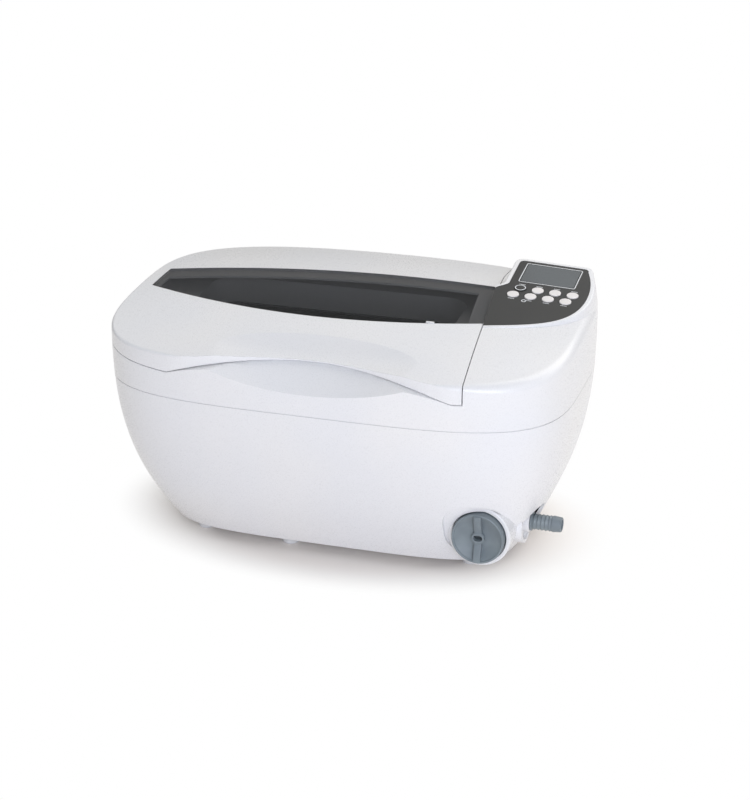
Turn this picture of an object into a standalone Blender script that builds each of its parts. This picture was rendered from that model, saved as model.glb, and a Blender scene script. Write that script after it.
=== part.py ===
"""Benchtop ultrasonic cleaner: housing, steel tank, hinged lid with a window, keys and drain valve."""

import math

import bmesh
import bpy
from mathutils import Matrix, Vector

# Envelope of the housing, in metres. Front faces -Y, right is +X, up is +Z.
LENGTH = 0.400
DEPTH = 0.2652
CROWN_Z = 0.2057
REAR_RISE = 0.0083
DROP_Y = 0.0107
DROP_X = 0.0080
SHOULDER_DROP = 0.0150
PART_Z = 0.1460
TAPER_X = 0.0459
TAPER_Y = 0.0491
BOWL_X = 2.9
BOWL_Y = 2.15
ROUND_TOP = 3.8
ROUND_BASE = 4.2
EDGE_ROUND = 0.0025
END_ROUND = 0.0088
END_ROUND_INSET = 0.110
END_ROUND_RUN = 0.080
WALL = 0.0030

# Clearances
GAP = 0.0003
PART_GAP = 0.0006
LID_GAP = 0.0008
RUN_GAP = 0.0004

# Base plate and feet
FOOT_HEIGHT = 0.0072
FOOT_D = 0.0160
FOOT_INSET = 0.0180
FOOT_END = 0.080
FOOT_MID_X = -0.039
BASE_PLATE_T = 0.0020
BASE_LEDGE = 0.0140
BASE_OVERLAP = 0.0080
VENT_W = 0.0035
VENT_PITCH = 0.0070
VENT_COUNT = 5

# Lid seat, right-hand edge, lip and finger recess
SEAT_FRONT = 0.1680
SEAT_MID = 0.1834
SEAT_REAR = 0.1870
DECK_T = 0.0030
LID_EDGE_INSET = 0.0850
LID_EDGE_SLANT = 0.0962
LID_EDGE_STRAIGHT = 0.0380
LID_WALL = 0.0025
LID_TOP = 0.0042
LIP_X = -0.002
ARCH_RISE = 0.0123
ARCH_END = 0.00876
LIP_END = 0.026
LIP_BAY = 0.0255
LIP_WALL = 0.0040
LIP_Z = 0.1895
SCOOP_SLOPE = 0.10
SCOOP_BEND_R = 0.096
SCOOP_R = 3.5
DISH_Z = 0.1650
DISH_ANGLE = math.radians(36.0)
DISH_R = 0.350

# Window in the lid
WINDOW_T = 0.0020
WINDOW_INSET = 0.013
WINDOW_FRONT_L = -0.003
WINDOW_FRONT_M = -0.0455
WINDOW_FRONT_R = -0.0215
WINDOW_REAR_L = 0.039
WINDOW_REAR_R = 0.0625
WINDOW_BOW = 0.007
LEDGE = 0.0050
LEDGE_REAR = 0.0160
LEDGE_RIGHT = 0.0130

# Hinge at the rear of the lid
HINGE_R = 0.0045
HINGE_PIN_D = 0.0040
HINGE_DROP = 0.0040
HINGE_CLEAR = 0.0006
HINGE_LEFT = 0.095
HINGE_RIGHT = 0.060
KNUCKLE_W = 0.0160
LUG_W = 0.0050

# Control pod at the right-hand end
PANEL_INSET = 0.0824
PANEL_BACK = 0.0876
PANEL_Z = 0.2138
PANEL_TILT = 0.17
PANEL_ROLL = 0.05
PANEL_FRONT = 0.0715
PANEL_R = 0.0732
PANEL_REAR = 0.0470
PANEL_DRAW = 0.0085
PANEL_SWEEP = 0.0430
PANEL_RISE = 0.33
PANEL_TURN = 0.0500
PANEL_STEP = 0.0095
PANEL_STEP_RUN = 0.0140
PANEL_STEP_Y = -0.0080
PANEL_CORNER = 0.0050
PANEL_T = 0.0020
PANEL_LEDGE = 0.0040
POD_RIM = 0.0045
POD_FLARE = 0.0040
POD_ROUND = 0.0015
POD_DEEP = 0.030
POD_SLOPE = 0.0220

# Keys, display and board behind the panel
KEY_D = 0.0102
KEY_PITCH = 0.0151
KEY_TRAVEL = 0.0010
KEY_PROUD = 0.0008
KEY_FLANGE = 0.0008
KEY_FLANGE_T = 0.0010
KEY_ROWS = ((0.0155, -0.0020), (0.0120, -0.0139))
KEYS_IN_ROW = 4
DISPLAY_W = 0.0464
DISPLAY_H = 0.0310
DISPLAY_X = 0.0353
DISPLAY_Y = 0.0268
DISPLAY_T = 0.0012
DISPLAY_CORNER = 0.0010
BOARD_T = 0.0016
BOARD_CLEAR = 0.0016
PEG_D = 0.0040

# Tank
TANK_X = -0.035
TANK_Y = 0.008
TANK_L = 0.236
TANK_W = 0.132
TANK_R = 0.022
TANK_FOOT_R = 0.014
TANK_T = 0.0012
TANK_BOTTOM_Z = 0.0650
COLLAR_Z = 0.1630
GASKET_T = 0.0015
FLANGE = 0.0090

# Transducers and heater under the tank
HORN_D = 0.048
HORN_H = 0.020
PIEZO_D = 0.038
PIEZO_H = 0.011
BACK_H = 0.012
PIEZO_GROOVE = 0.0005
TRANSDUCER_END = 0.058
HEATER_W = 0.050
HEATER_SIDE = 0.020
HEATER_T = 0.0020

# Drain valve, knob and hose barb
VALVE_INSET = 0.0635
VALVE_BACK = 0.0483
VALVE_Z = 0.0440
VALVE_D = 0.0280
VALVE_HALF = 0.0180
NECK_D = 0.0160
BALL_D = 0.0160
BORE_D = 0.0090
STEM_D = 0.0080
KNOB_D = 0.0440
KNOB_INSET = 0.0286
KNOB_T = 0.0115
KNOB_BAR_W = 0.0066
KNOB_HUB_D = 0.0112
KNOB_BAR_PROUD = 0.0015
KNOB_SLOT_W = 0.0074
KNOB_SLOT_H = 0.0048
SHROUD_T = 0.0035
SHROUD_FLOOR = 0.0200
SHROUD_RISE = 0.0052
BARB_D = 0.0137
BARB_INSET = 0.0030
BARB_FLANGE_D = 0.0160
BARB_FLANGE_T = 0.0015
BARB_COUNT = 3
OUTLET_D = 0.0320
COLLAR_L = 0.0065
COLLAR_D = 0.0185
OUTLET_INSET = 0.0360
DRAIN_END = 0.0270
DRAIN_SIDE = 0.0240
DRAIN_D = 0.0180
SPIGOT_D = 0.0130
SPIGOT_L = 0.0080
HOSE_T = 0.0018

# Fan, power board and mains inlet
FAN_SIZE = 0.040
FAN_H = 0.0120
FAN_BORE = 0.037
FAN_HUB = 0.015
FAN_CORNER = 0.0040
FAN_SIDE = 0.0131
FAN_BACK = 0.0175
FAN_BLADES = 7
BAY_CLEAR = 0.0015
BAY_END = 0.0106
BRACKET_GAP = 0.0020
BRACKET_H = 0.095
BRACKET_FOOT = 0.016
BRACKET_T = 0.0015
CORE_W = 0.030
CORE_H = 0.028
CORE_DEPTH = 0.020
SINK_INSET = 0.0025
SINK_H = 0.040
SINK_DEPTH = 0.016
SINK_FINS = 6
FIN_SHARE = 0.35
INLET_INSET = 0.115
INLET_Z = 0.088
INLET_W = 0.048
INLET_H = 0.027
INLET_T = 0.0020
INLET_BODY_W = 0.0285
INLET_BODY_H = 0.0215
INLET_BODY_L = 0.0200
BLADE_W = 0.0020
BLADE_H = 0.0040
WALL_PROBE = 0.0040
REAR_VENT_Z = 0.0700
REAR_VENT_H = 0.0300
REAR_VENT_COUNT = 7

# Values worked out from those above
HALF_L = LENGTH / 2
HALF_D = DEPTH / 2
FLOOR_Z = FOOT_HEIGHT + BASE_PLATE_T + 2 * GAP
SHOULDER_Z = CROWN_Z - SHOULDER_DROP
END_ROUND_START = HALF_L - END_ROUND_INSET
FOOT_X = HALF_L - FOOT_END
LID_EDGE_X = HALF_L - LID_EDGE_INSET
LID_STRAIGHT_Y = HALF_D - LID_EDGE_STRAIGHT
LIP_Y = LIP_BAY - HALF_D
ARCH_HALF = LID_EDGE_X + LID_EDGE_SLANT * HALF_D - LIP_X - ARCH_END
LIP_HALF = ARCH_HALF - LIP_END
WINDOW_LEFT = WINDOW_INSET - HALF_L
HINGE_X = (HINGE_LEFT - HALF_L, LID_EDGE_X - HINGE_RIGHT)
PANEL_X = HALF_L - PANEL_INSET
PANEL_Y = HALF_D - PANEL_BACK
BOARD_DROP = PANEL_T + RUN_GAP + KEY_FLANGE_T + KEY_TRAVEL + BOARD_CLEAR
TANK_RIGHT = TANK_X + TANK_L / 2
TRANSDUCER_X = TANK_L / 2 - TRANSDUCER_END
HEATER_D = TANK_W - 2 * HEATER_SIDE
KNOB_Y = KNOB_INSET - HALF_D
VALVE_X = HALF_L - VALVE_INSET
VALVE_Y = KNOB_Y + VALVE_BACK
BARB_TIP_X = HALF_L - BARB_INSET
OUTLET_FLOOR_X = HALF_L - OUTLET_INSET
DRAIN_X = TANK_RIGHT - DRAIN_END
DRAIN_Y = TANK_Y - TANK_W / 2 + DRAIN_SIDE
BASE_END_X = HALF_L - TAPER_X - BASE_LEDGE
FAN_X = BASE_END_X - FAN_SIZE / 2 - FAN_SIDE
FAN_Y = HALF_D - TAPER_Y - BASE_LEDGE - FAN_SIZE / 2 - FAN_BACK
BAY_LEFT = TANK_RIGHT + BAY_CLEAR
BAY_RIGHT = BASE_END_X - BAY_END
BRACKET_W = BAY_RIGHT - BAY_LEFT
BRACKET_X = (BAY_LEFT + BAY_RIGHT) / 2
BRACKET_Y = FAN_Y - FAN_SIZE / 2 - BRACKET_GAP - BRACKET_FOOT
SINK_W = BRACKET_W - 2 * SINK_INSET
INLET_X = HALF_L - INLET_INSET
SKY = 0.06
RING = 40
TROUGH_STEPS = 24
WELL_TURN = math.radians(4.7)
HINGE_Y = HALF_D + HINGE_R + HINGE_CLEAR
HINGE_Z = SEAT_REAR - HINGE_DROP
BASE_TOP = FOOT_HEIGHT + GAP + BASE_PLATE_T

TO_FRONT = Matrix.Rotation(math.radians(90), 4, "X")
TO_RIGHT = Matrix.Rotation(math.radians(90), 4, "Y")


def clear_scene():
    for old in list(bpy.data.objects):
        bpy.data.objects.remove(old, do_unlink=True)


def new_collection(name, helper):
    made = bpy.data.collections.new(name)
    made.hide_render = helper
    bpy.context.scene.collection.children.link(made)
    return made


clear_scene()
PARTS = new_collection("ultrasonic_cleaner", False)
CUTTERS = new_collection("cutters", True)


def material(name, colour, roughness, metallic=0.0, transmission=0.0):
    made = bpy.data.materials.new(name)
    made.use_nodes = True
    shader = made.node_tree.nodes["Principled BSDF"]
    shader.inputs["Base Color"].default_value = (*colour, 1.0)
    shader.inputs["Roughness"].default_value = roughness
    shader.inputs["Metallic"].default_value = metallic
    shader.inputs["Transmission Weight"].default_value = transmission
    made.diffuse_color = (*colour, 1.0)
    return made


WHITE = material("white_moulding", (0.80, 0.80, 0.82), 0.35)
SMOKE = material("smoked_window", (0.05, 0.05, 0.05), 0.08, transmission=0.6)
PANEL = material("panel_film", (0.07, 0.07, 0.07), 0.45)
GLASS = material("display_lens", (0.10, 0.11, 0.13), 0.15)
KEYS = material("key_plastic", (0.78, 0.76, 0.75), 0.45)
GREY = material("grey_moulding", (0.21, 0.26, 0.29), 0.40)
STEEL = material("stainless_steel", (0.55, 0.56, 0.57), 0.25, metallic=1.0)
ALUMINIUM = material("aluminium", (0.60, 0.61, 0.62), 0.35, metallic=1.0)
CERAMIC = material("piezo_ceramic", (0.35, 0.33, 0.27), 0.55)
RUBBER = material("white_rubber", (0.62, 0.62, 0.62), 0.70)
SEAL = material("silicone_seal", (0.40, 0.40, 0.42), 0.60)
HEATER = material("heater_silicone", (0.45, 0.12, 0.06), 0.65)
BOARD = material("circuit_board", (0.03, 0.16, 0.07), 0.45)
BLACK = material("black_plastic", (0.02, 0.02, 0.02), 0.45)
FERRITE = material("ferrite_core", (0.06, 0.06, 0.065), 0.60)


def empty(name, matrix, parent=None):
    made = bpy.data.objects.new(name, None)
    PARTS.objects.link(made)
    made.parent = parent
    made.matrix_basis = matrix
    return made


def build(name, verts, faces, skin=None, frame=None, parent=None):
    """A closed mesh object; without a skin it is a cutter."""
    mesh = bpy.data.meshes.new(name)
    mesh.from_pydata([Vector(v) for v in verts], [], faces)
    if frame is not None:
        mesh.transform(frame)
    work = bmesh.new()
    work.from_mesh(mesh)
    bmesh.ops.recalc_face_normals(work, faces=work.faces)
    # Four-sided faces of a curved wall aren't flat, so they are split before any cut.
    bmesh.ops.triangulate(work, faces=[face for face in work.faces if len(face.verts) == 4])
    work.to_mesh(mesh)
    work.free()
    made = bpy.data.objects.new(name, mesh)
    made.parent = parent or ROOT
    if skin is None:
        CUTTERS.objects.link(made)
        made.hide_render = True
        made.display_type = "WIRE"
    else:
        PARTS.objects.link(made)
        mesh.materials.append(skin)
    return made


def loft(rings, cyclic=False):
    """Vertices and faces through rings of equal count, capped, or joined end to end where cyclic."""
    count = len(rings[0])
    verts = [point for ring in rings for point in ring]
    spans = len(rings) if cyclic else len(rings) - 1
    faces = []
    for i in range(spans):
        low = i * count
        high = (i + 1) % len(rings) * count
        for k in range(count):
            after = (k + 1) % count
            faces.append((low + k, low + after, high + after, high + k))
    if not cyclic:
        faces.append(tuple(range(count)))
        faces.append(tuple(range(len(verts) - count, len(verts))))
    return verts, faces


def prism(outline, low, high):
    """An upright prism; low and high are heights or functions of x and y."""
    low_at = low if callable(low) else lambda x, y: low
    high_at = high if callable(high) else lambda x, y: high
    bottom = [(x, y, low_at(x, y)) for x, y in outline]
    top = [(x, y, high_at(x, y)) for x, y in outline]
    return loft([bottom, top])


def circle(radius, steps, x=0.0, y=0.0):
    turns = [2 * math.pi * k / steps for k in range(steps)]
    return [(x + radius * math.cos(t), y + radius * math.sin(t)) for t in turns]


def turned(profile, steps=24, cyclic=False):
    """A revolve about Z of (radius, height) points; cyclic for a ring with a bore."""
    return loft([[(x, y, z) for x, y in circle(r, steps)] for r, z in profile], cyclic)


def box(width, depth, low, high, x=0.0, y=0.0):
    corners = [(-1, -1), (1, -1), (1, 1), (-1, 1)]
    return prism([(x + i * width / 2, y + j * depth / 2) for i, j in corners], low, high)


def arc(x, y, radius, start, end, steps):
    turns = [math.radians(start + (end - start) * k / steps) for k in range(steps + 1)]
    return [(x + radius * math.cos(t), y + radius * math.sin(t)) for t in turns]


def rounded_box(width, depth, radius, x=0.0, y=0.0, steps=4):
    """Plan outline of a rectangle with round corners."""
    points = []
    for turn, (i, j) in enumerate([(1, 1), (-1, 1), (-1, -1), (1, -1)]):
        cx = x + i * (width / 2 - radius)
        cy = y + j * (depth / 2 - radius)
        points += arc(cx, cy, radius, 90 * turn, 90 * turn + 90, steps)
    return points


def joined(shapes):
    """Several separate shapes as one cutter's vertices and faces."""
    verts = []
    faces = []
    for points, sides in shapes:
        start = len(verts)
        verts += points
        faces += [tuple(i + start for i in side) for side in sides]
    return verts, faces


def boolean(target, tool, operation):
    step = target.modifiers.new(f"{operation.lower()}_{tool.name}", "BOOLEAN")
    step.operation = operation
    step.solver = "EXACT"
    step.object = tool


def cut(target, *tools):
    for tool in tools:
        boolean(target, tool, "DIFFERENCE")


def add(target, *tools):
    for tool in tools:
        boolean(target, tool, "UNION")


def smooth_step(value):
    share = min(max(value, 0.0), 1.0)
    return share * share * (3 - 2 * share)


def top_z(x, y):
    """Height of the domed top."""
    along = x / HALF_L
    across = y / HALF_D
    return CROWN_Z + REAR_RISE * across - DROP_Y * across**2 - DROP_X * along**2


def outline_point(turn, half_l, half_d, power):
    c = math.cos(turn)
    s = math.sin(turn)
    x = half_l * math.copysign(abs(c) ** (2 / power), c)
    y = half_d * math.copysign(abs(s) ** (2 / power), s)
    return x, y


def wall_point(turn, z, inset=0.0):
    """Point of the bowl-shaped outer wall at a height, moved in by inset."""
    share = min(max((z - FLOOR_Z) / (SHOULDER_Z - FLOOR_Z), 0.0), 1.0)
    half_l = HALF_L - TAPER_X * (1 - share) ** BOWL_X - inset
    half_d = HALF_D - TAPER_Y * (1 - share) ** BOWL_Y - inset
    power = ROUND_BASE + (ROUND_TOP - ROUND_BASE) * share
    return outline_point(turn, half_l, half_d, power)


RING_TURNS = [2 * math.pi * k / RING for k in range(RING)]


def wall_ring(z, inset=0.0, height=None):
    ring = [wall_point(turn, z, inset) for turn in RING_TURNS]
    return [(x, y, z if height is None else height) for x, y in ring]


def wall_y(x, z, side):
    """y of the outer wall at x and z, at the front (-1) or the rear (1)."""
    low, high = (0.0, math.pi / 2)
    for _ in range(40):
        middle = (low + high) / 2
        if wall_point(middle, z)[0] > abs(x):
            low = middle
        else:
            high = middle
    return side * wall_point(low, z)[1]


# The origin lies midway between the front of the finger recess and the back of the hinge.
ORIGIN_Y = (HINGE_Y + HINGE_R + wall_y(0, DISH_Z, -1)) / 2
ROOT = empty("cleaner_root", Matrix.Translation((0, -ORIGIN_Y, 0)))


def top_solid(inset, lower, bottom):
    """The upper body as one solid: wall, rounded edge and dome, drawn in and lowered."""
    rings = [[] for _ in range(9)]
    for turn in RING_TURNS:
        reach = smooth_step((wall_point(turn, SHOULDER_Z)[0] - END_ROUND_START) / END_ROUND_RUN)
        edge = EDGE_ROUND + (END_ROUND - EDGE_ROUND) * reach
        rim_x, rim_y = wall_point(turn, SHOULDER_Z, inset + edge)
        rim_z = top_z(rim_x, rim_y) - lower
        shoulder = rim_z - edge
        for k in range(3):
            z = bottom + (shoulder - bottom) * k / 2
            rings[k].append((*wall_point(turn, z, inset), z))
        for k in range(1, 4):
            bend = math.radians(30 * k)
            x, y = wall_point(turn, SHOULDER_Z, inset + edge * (1 - math.cos(bend)))
            rings[2 + k].append((x, y, shoulder + edge * math.sin(bend)))
        for k in range(1, 4):
            share = 1 - 0.27 * k
            x = rim_x * share
            y = rim_y * share
            rings[5 + k].append((x, y, top_z(x, y) - lower))
    return loft(rings)


def lid_edge(y):
    """x of the lid's right-hand edge, straight at the rear so that the lid swings clear."""
    return LID_EDGE_X - LID_EDGE_SLANT * min(y, LID_STRAIGHT_Y)


def seat_z(x, y):
    """Height where the lid meets the housing, with the arch over the finger recess."""
    across = y / HALF_D
    plain = SEAT_MID + (SEAT_REAR - SEAT_FRONT) / 2 * across
    plain += ((SEAT_REAR + SEAT_FRONT) / 2 - SEAT_MID) * across**2
    arch = max(0.0, 1 - ((x - LIP_X) / ARCH_HALF) ** 4)
    front = smooth_step((LIP_Y + LIP_BAY * 1.8 - y) / LIP_BAY)
    return plain + ARCH_RISE * arch * front


def lid_zone(name, lift, grow):
    """The space that belongs to the lid, lifted off its seat and grown past its right-hand edge."""
    left = -HALF_L - SKY
    arch_steps = [LIP_X + ARCH_HALF * k / 6 for k in range(-6, 7)]
    front_edge = lid_edge(-HALF_D)
    columns = [left, -HALF_L, *arch_steps, front_edge]
    shares = [(x - left) / (front_edge - left) for x in columns]
    front_rows = [LIP_Y + LIP_BAY * 1.8 * k / 4 for k in range(5)]
    rear_rows = [0.0, HALF_D / 2, LID_STRAIGHT_Y, HALF_D, HALF_D + SKY]
    rows = [-HALF_D - SKY, -HALF_D, *front_rows, *rear_rows]
    rings = []
    for y in rows:
        bed = []
        for share in shares:
            x = left + share * (lid_edge(y) - left)
            side = grow if share == shares[-1] else 0.0
            bed.append((x + side, y, seat_z(x, max(min(y, HALF_D), -HALF_D)) + lift))
        lid_top = CROWN_Z + SKY
        rings.append([*bed, (lid_edge(y) + grow, y, lid_top), (left, y, lid_top)])
    return build(name, *loft(rings))


def slanted_trough(name, radius, y, z, angle, shift=0.0):
    """A round-bottomed cutter whose lowest line passes y, z and climbs to the rear at the angle."""
    frame = Matrix.Translation((LIP_X, y, z)) @ Matrix.Rotation(angle - math.pi / 2, 4, "X")
    # Local Z runs along the climb and local Y points down into the body.
    spread = math.degrees(math.asin(ARCH_HALF * 1.25 / radius))
    outline = arc(0.0, -radius, radius + shift, 90 - spread, 90 + spread, TROUGH_STEPS)
    outline += [(outline[-1][0], -SKY * 2), (outline[0][0], -SKY * 2)]
    return build(name, *prism(outline, -SKY * 2, SKY * 4), frame=frame)


def lip_scoop(name):
    """A cutter hollowed both ways, which leaves a crescent on the lid above its lip."""
    half = ARCH_HALF * 1.25
    columns = [LIP_X + half * (k / 8 - 1) for k in range(17)]
    rows = [LIP_Y - SKY, LIP_Y, *[LIP_Y + LIP_BAY * k / 4 for k in range(1, 9)]]
    top = CROWN_Z + SKY
    rings = []
    for y in rows:
        deep = LIP_Z + SCOOP_SLOPE * (y - LIP_Y) + max(0.0, y - LIP_Y) ** 2 / (2 * SCOOP_BEND_R)
        floor = [(x, y, deep + (x - LIP_X) ** 2 / (2 * SCOOP_R)) for x in columns]
        rings.append([*floor, (columns[-1], y, top), (columns[0], y, top)])
    return build(name, *loft(rings))


def window_front(x):
    """y of the window's front edge, a shallow bow."""
    share = (x - WINDOW_LEFT) / (lid_edge(WINDOW_FRONT_R) - WINDOW_LEFT)
    line = WINDOW_FRONT_L + (WINDOW_FRONT_R - WINDOW_FRONT_L) * share
    sag = (WINDOW_FRONT_M - (WINDOW_FRONT_L + WINDOW_FRONT_R) / 2) * 4 * share * (1 - share)
    return line + sag


def window_rear(x):
    """y of the window's rear edge, bowed a little the other way."""
    share = (x - WINDOW_LEFT) / (lid_edge(WINDOW_REAR_R) - WINDOW_LEFT)
    line = WINDOW_REAR_L + (WINDOW_REAR_R - WINDOW_REAR_L) * share
    return line + WINDOW_BOW * 4 * share * (1 - share)


def window_outline(grow, rear=0.0, right=0.0):
    """Plan outline of the lid window; grow enlarges it, rear and right draw those sides in."""
    span = 12
    left = WINDOW_LEFT - grow
    front_end = lid_edge(WINDOW_FRONT_R) + grow - right
    rear_end = lid_edge(WINDOW_REAR_R) + grow - right
    points = []
    for k in range(span + 1):
        x = left + (front_end - left) * k / span
        points.append((x, window_front(x) - grow))
    for k in range(span, -1, -1):
        x = left + (rear_end - left) * k / span
        points.append((x, window_rear(x) + grow - rear))
    return points


def bezier(points, steps):
    """Points along a Bezier curve, without its last one."""
    made = []
    for k in range(steps):
        row = points
        while len(row) > 1:
            row = [(x + (u - x) * k / steps, y + (v - y) * k / steps) for (x, y), (u, v) in zip(row, row[1:])]
        made.append(row[0])
    return made


def pod_outline(grow, slope=0.0):
    """Plan outline of the control panel, grown outwards, with its rear moved back by the slope."""
    right = PANEL_X + PANEL_R + grow
    front = PANEL_Y - PANEL_FRONT - grow
    back = PANEL_Y + PANEL_REAR + grow + slope
    front_left = lid_edge(PANEL_Y - PANEL_FRONT) + LID_GAP - grow
    left = lid_edge(PANEL_Y + PANEL_STEP_Y) + LID_GAP - grow
    corner = PANEL_CORNER + grow
    rear_right = right - PANEL_DRAW
    rear_left = left + PANEL_STEP
    swept = (front_left + PANEL_SWEEP, front + PANEL_SWEEP * PANEL_RISE)
    points = bezier([(front_left, front), swept, (right, PANEL_Y - PANEL_TURN), (right, PANEL_Y)], 14)
    bend = PANEL_Y + PANEL_REAR * 0.45
    points += bezier([(right, PANEL_Y), (right, bend), (rear_right, back - corner)], 5)
    points += bezier([(rear_right, back - corner), (rear_right, back), (rear_right - corner, back)], 4)
    points += bezier([(rear_left + corner, back), (rear_left, back), (rear_left, back - corner)], 4)
    for k in range(7):
        fall = k / 6
        y = PANEL_Y + PANEL_STEP_Y + PANEL_STEP_RUN * (1 - fall)
        points.append((left + PANEL_STEP * (1 - smooth_step(fall)), y))
    return points


def panel_z(x, y):
    return PANEL_Z + PANEL_TILT * (y - PANEL_Y) - PANEL_ROLL * (x - PANEL_X)


def panel_matrix():
    """Frame of the panel: origin at the centre of its round side, Z square to the face."""
    along = Vector((1, 0, -PANEL_ROLL)).normalized()
    normal = along.cross(Vector((0, 1, PANEL_TILT))).normalized()
    across = normal.cross(along)
    frame = Matrix((along, across, normal)).transposed().to_4x4()
    frame.translation = (PANEL_X, PANEL_Y, PANEL_Z)
    return frame


PANEL_FRAME = empty("panel_frame", panel_matrix(), ROOT)


def pod_ring(grow, drop, slope=0.0):
    return [(x, y, panel_z(x, y - slope) - drop) for x, y in pod_outline(grow, slope)]


def local_outline(outline):
    return [(x - PANEL_X, y - PANEL_Y) for x, y in outline]


def hinge_frames():
    return [Matrix.Translation((x, HINGE_Y, HINGE_Z)) for x in HINGE_X]


def drum_profile(middle, outer, low, high):
    """Profile of a drum whose flat ends are rings round a small middle, which cut more cleanly."""
    return [(middle, low), (outer, low), (outer, high), (middle, high)]


def lower_housing():
    top = PART_Z - PART_GAP / 2
    ledge_z = FLOOR_Z + WALL
    rings = [wall_ring(FLOOR_Z + (top - FLOOR_Z) * k / 7) for k in range(8)]
    rings += [wall_ring(ledge_z + (top - ledge_z) * k / 5, WALL) for k in range(5, -1, -1)]
    rings += [wall_ring(FLOOR_Z, BASE_LEDGE, ledge_z), wall_ring(FLOOR_Z, BASE_LEDGE)]
    housing = build("lower_housing", *loft(rings, cyclic=True), WHITE)
    knob = Matrix.Translation((VALVE_X, 0, VALVE_Z)) @ TO_FRONT
    well_r = KNOB_D / 2 + 2 * RUN_GAP
    boss_r = well_r + SHROUD_T
    floor = -KNOB_Y - KNOB_T - RUN_GAP
    boss = drum_profile(STEM_D / 4, boss_r, floor - SHROUD_FLOOR, floor + SHROUD_RISE)
    well = turned([(well_r, floor), (well_r * 1.12, floor + SKY)], 32)
    bore = turned([(STEM_D / 2 + RUN_GAP, 0), (STEM_D / 2 + RUN_GAP, floor + SKY)], 20)
    add(housing, build("knob_boss", *turned(boss, 32), frame=knob))
    outlet = Matrix.Translation((0, VALVE_Y, VALVE_Z)) @ TO_RIGHT
    face = OUTLET_FLOOR_X
    port = drum_profile(SPIGOT_D / 4, OUTLET_D / 2 + WALL, face - 2 * WALL, face + WALL)
    pocket = turned([(OUTLET_D / 2, face), (OUTLET_D / 2 * 1.06, face + SKY)], 28)
    hole_r = SPIGOT_D / 2 + GAP
    hole = turned([(hole_r, face - SKY / 2), (hole_r, face + SKY)], 20)
    add(housing, build("outlet_boss", *turned(port, 28), frame=outlet))
    # The wells are turned a little so that none of their corners lies on a corner of the boss.
    knob = knob @ Matrix.Rotation(WELL_TURN, 4, "Z")
    outlet = outlet @ Matrix.Rotation(WELL_TURN, 4, "Z")
    cut(housing, build("knob_well", *well, frame=knob), build("stem_bore", *bore, frame=knob))
    cut(housing, build("outlet_well", *pocket, frame=outlet))
    collar = turned(drum_profile(SPIGOT_D / 4, COLLAR_D / 2, face - WALL, face + COLLAR_L), 24)
    add(housing, build("outlet_collar", *collar, frame=outlet))
    cut(housing, build("outlet_hole", *hole, frame=outlet))
    cut(housing, rear_vents())
    fit_inlet(housing)
    return housing


def rear_vents():
    shapes = []
    for k in range(REAR_VENT_COUNT):
        x = TANK_X + VENT_PITCH * (k - (REAR_VENT_COUNT - 1) / 2)
        low = REAR_VENT_Z
        shapes.append(box(VENT_W, SKY, low, low + REAR_VENT_H, x, wall_y(0, REAR_VENT_Z, 1)))
    return build("rear_vents", *joined(shapes))


def inlet_matrix():
    """Frame of the mains inlet on the rear wall: Z out of the wall, X along it."""
    here = Vector((INLET_X, wall_y(INLET_X, INLET_Z, 1), INLET_Z))
    side = Vector((INLET_X - WALL_PROBE, wall_y(INLET_X - WALL_PROBE, INLET_Z, 1), INLET_Z)) - here
    rise = Vector((INLET_X, wall_y(INLET_X, INLET_Z + WALL_PROBE, 1), INLET_Z + WALL_PROBE)) - here
    along = side.normalized()
    normal = along.cross(rise).normalized()
    frame = Matrix((along, normal.cross(along), normal)).transposed().to_4x4()
    frame.translation = here
    return frame


INLET_FRAME = empty("inlet_frame", inlet_matrix(), ROOT)


def fit_inlet(housing):
    """Flat pad, pocket and hole for the inlet in the rear wall."""
    pad = rounded_box(INLET_W + 2 * WALL, INLET_H + 2 * WALL, WALL)
    deep = 2 * WALL + INLET_T
    pad_solid = build("inlet_pad", *prism(pad, -deep, -INLET_T), parent=INLET_FRAME)
    pocket = rounded_box(INLET_W + 2 * GAP, INLET_H + 2 * GAP, WALL)
    pocket_cut = build("inlet_pocket", *prism(pocket, -INLET_T - GAP, SKY), parent=INLET_FRAME)
    hole = box(INLET_BODY_W + 2 * GAP, INLET_BODY_H + 2 * GAP, -SKY / 2, SKY)
    hole_cut = build("inlet_hole", *hole, parent=INLET_FRAME)
    add(housing, pad_solid)
    cut(housing, pocket_cut, hole_cut)


def mains_inlet():
    """Inlet socket with a flange, a keyed cavity and three blades."""
    flange = prism(rounded_box(INLET_W, INLET_H, WALL - GAP), -INLET_T, 0)
    socket = build("mains_inlet", *flange, BLACK, parent=INLET_FRAME)
    shell = box(INLET_BODY_W, INLET_BODY_H, -INLET_BODY_L, -INLET_T / 2)
    body = build("inlet_body", *shell, parent=INLET_FRAME)
    wide = INLET_BODY_W - 2 * WALL
    tall = INLET_BODY_H - 2 * WALL
    key = wide * 0.16
    mouth = [(-wide / 2, -tall / 2), (wide / 2, -tall / 2), (wide / 2, tall / 2 - key)]
    mouth += [(wide / 2 - key, tall / 2), (key - wide / 2, tall / 2), (-wide / 2, tall / 2 - key)]
    cavity = build("inlet_cavity", *prism(mouth, WALL - INLET_BODY_L, SKY), parent=INLET_FRAME)
    blades = []
    for x, y in ((-wide * 0.28, -tall * 0.12), (0.0, tall * 0.16), (wide * 0.28, -tall * 0.12)):
        blades.append(box(BLADE_W, BLADE_H, WALL / 2 - INLET_BODY_L, -INLET_BODY_L * 0.4, x, y))
    add(socket, body)
    cut(socket, cavity)
    add(socket, build("inlet_blades", *joined(blades), parent=INLET_FRAME))


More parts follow.
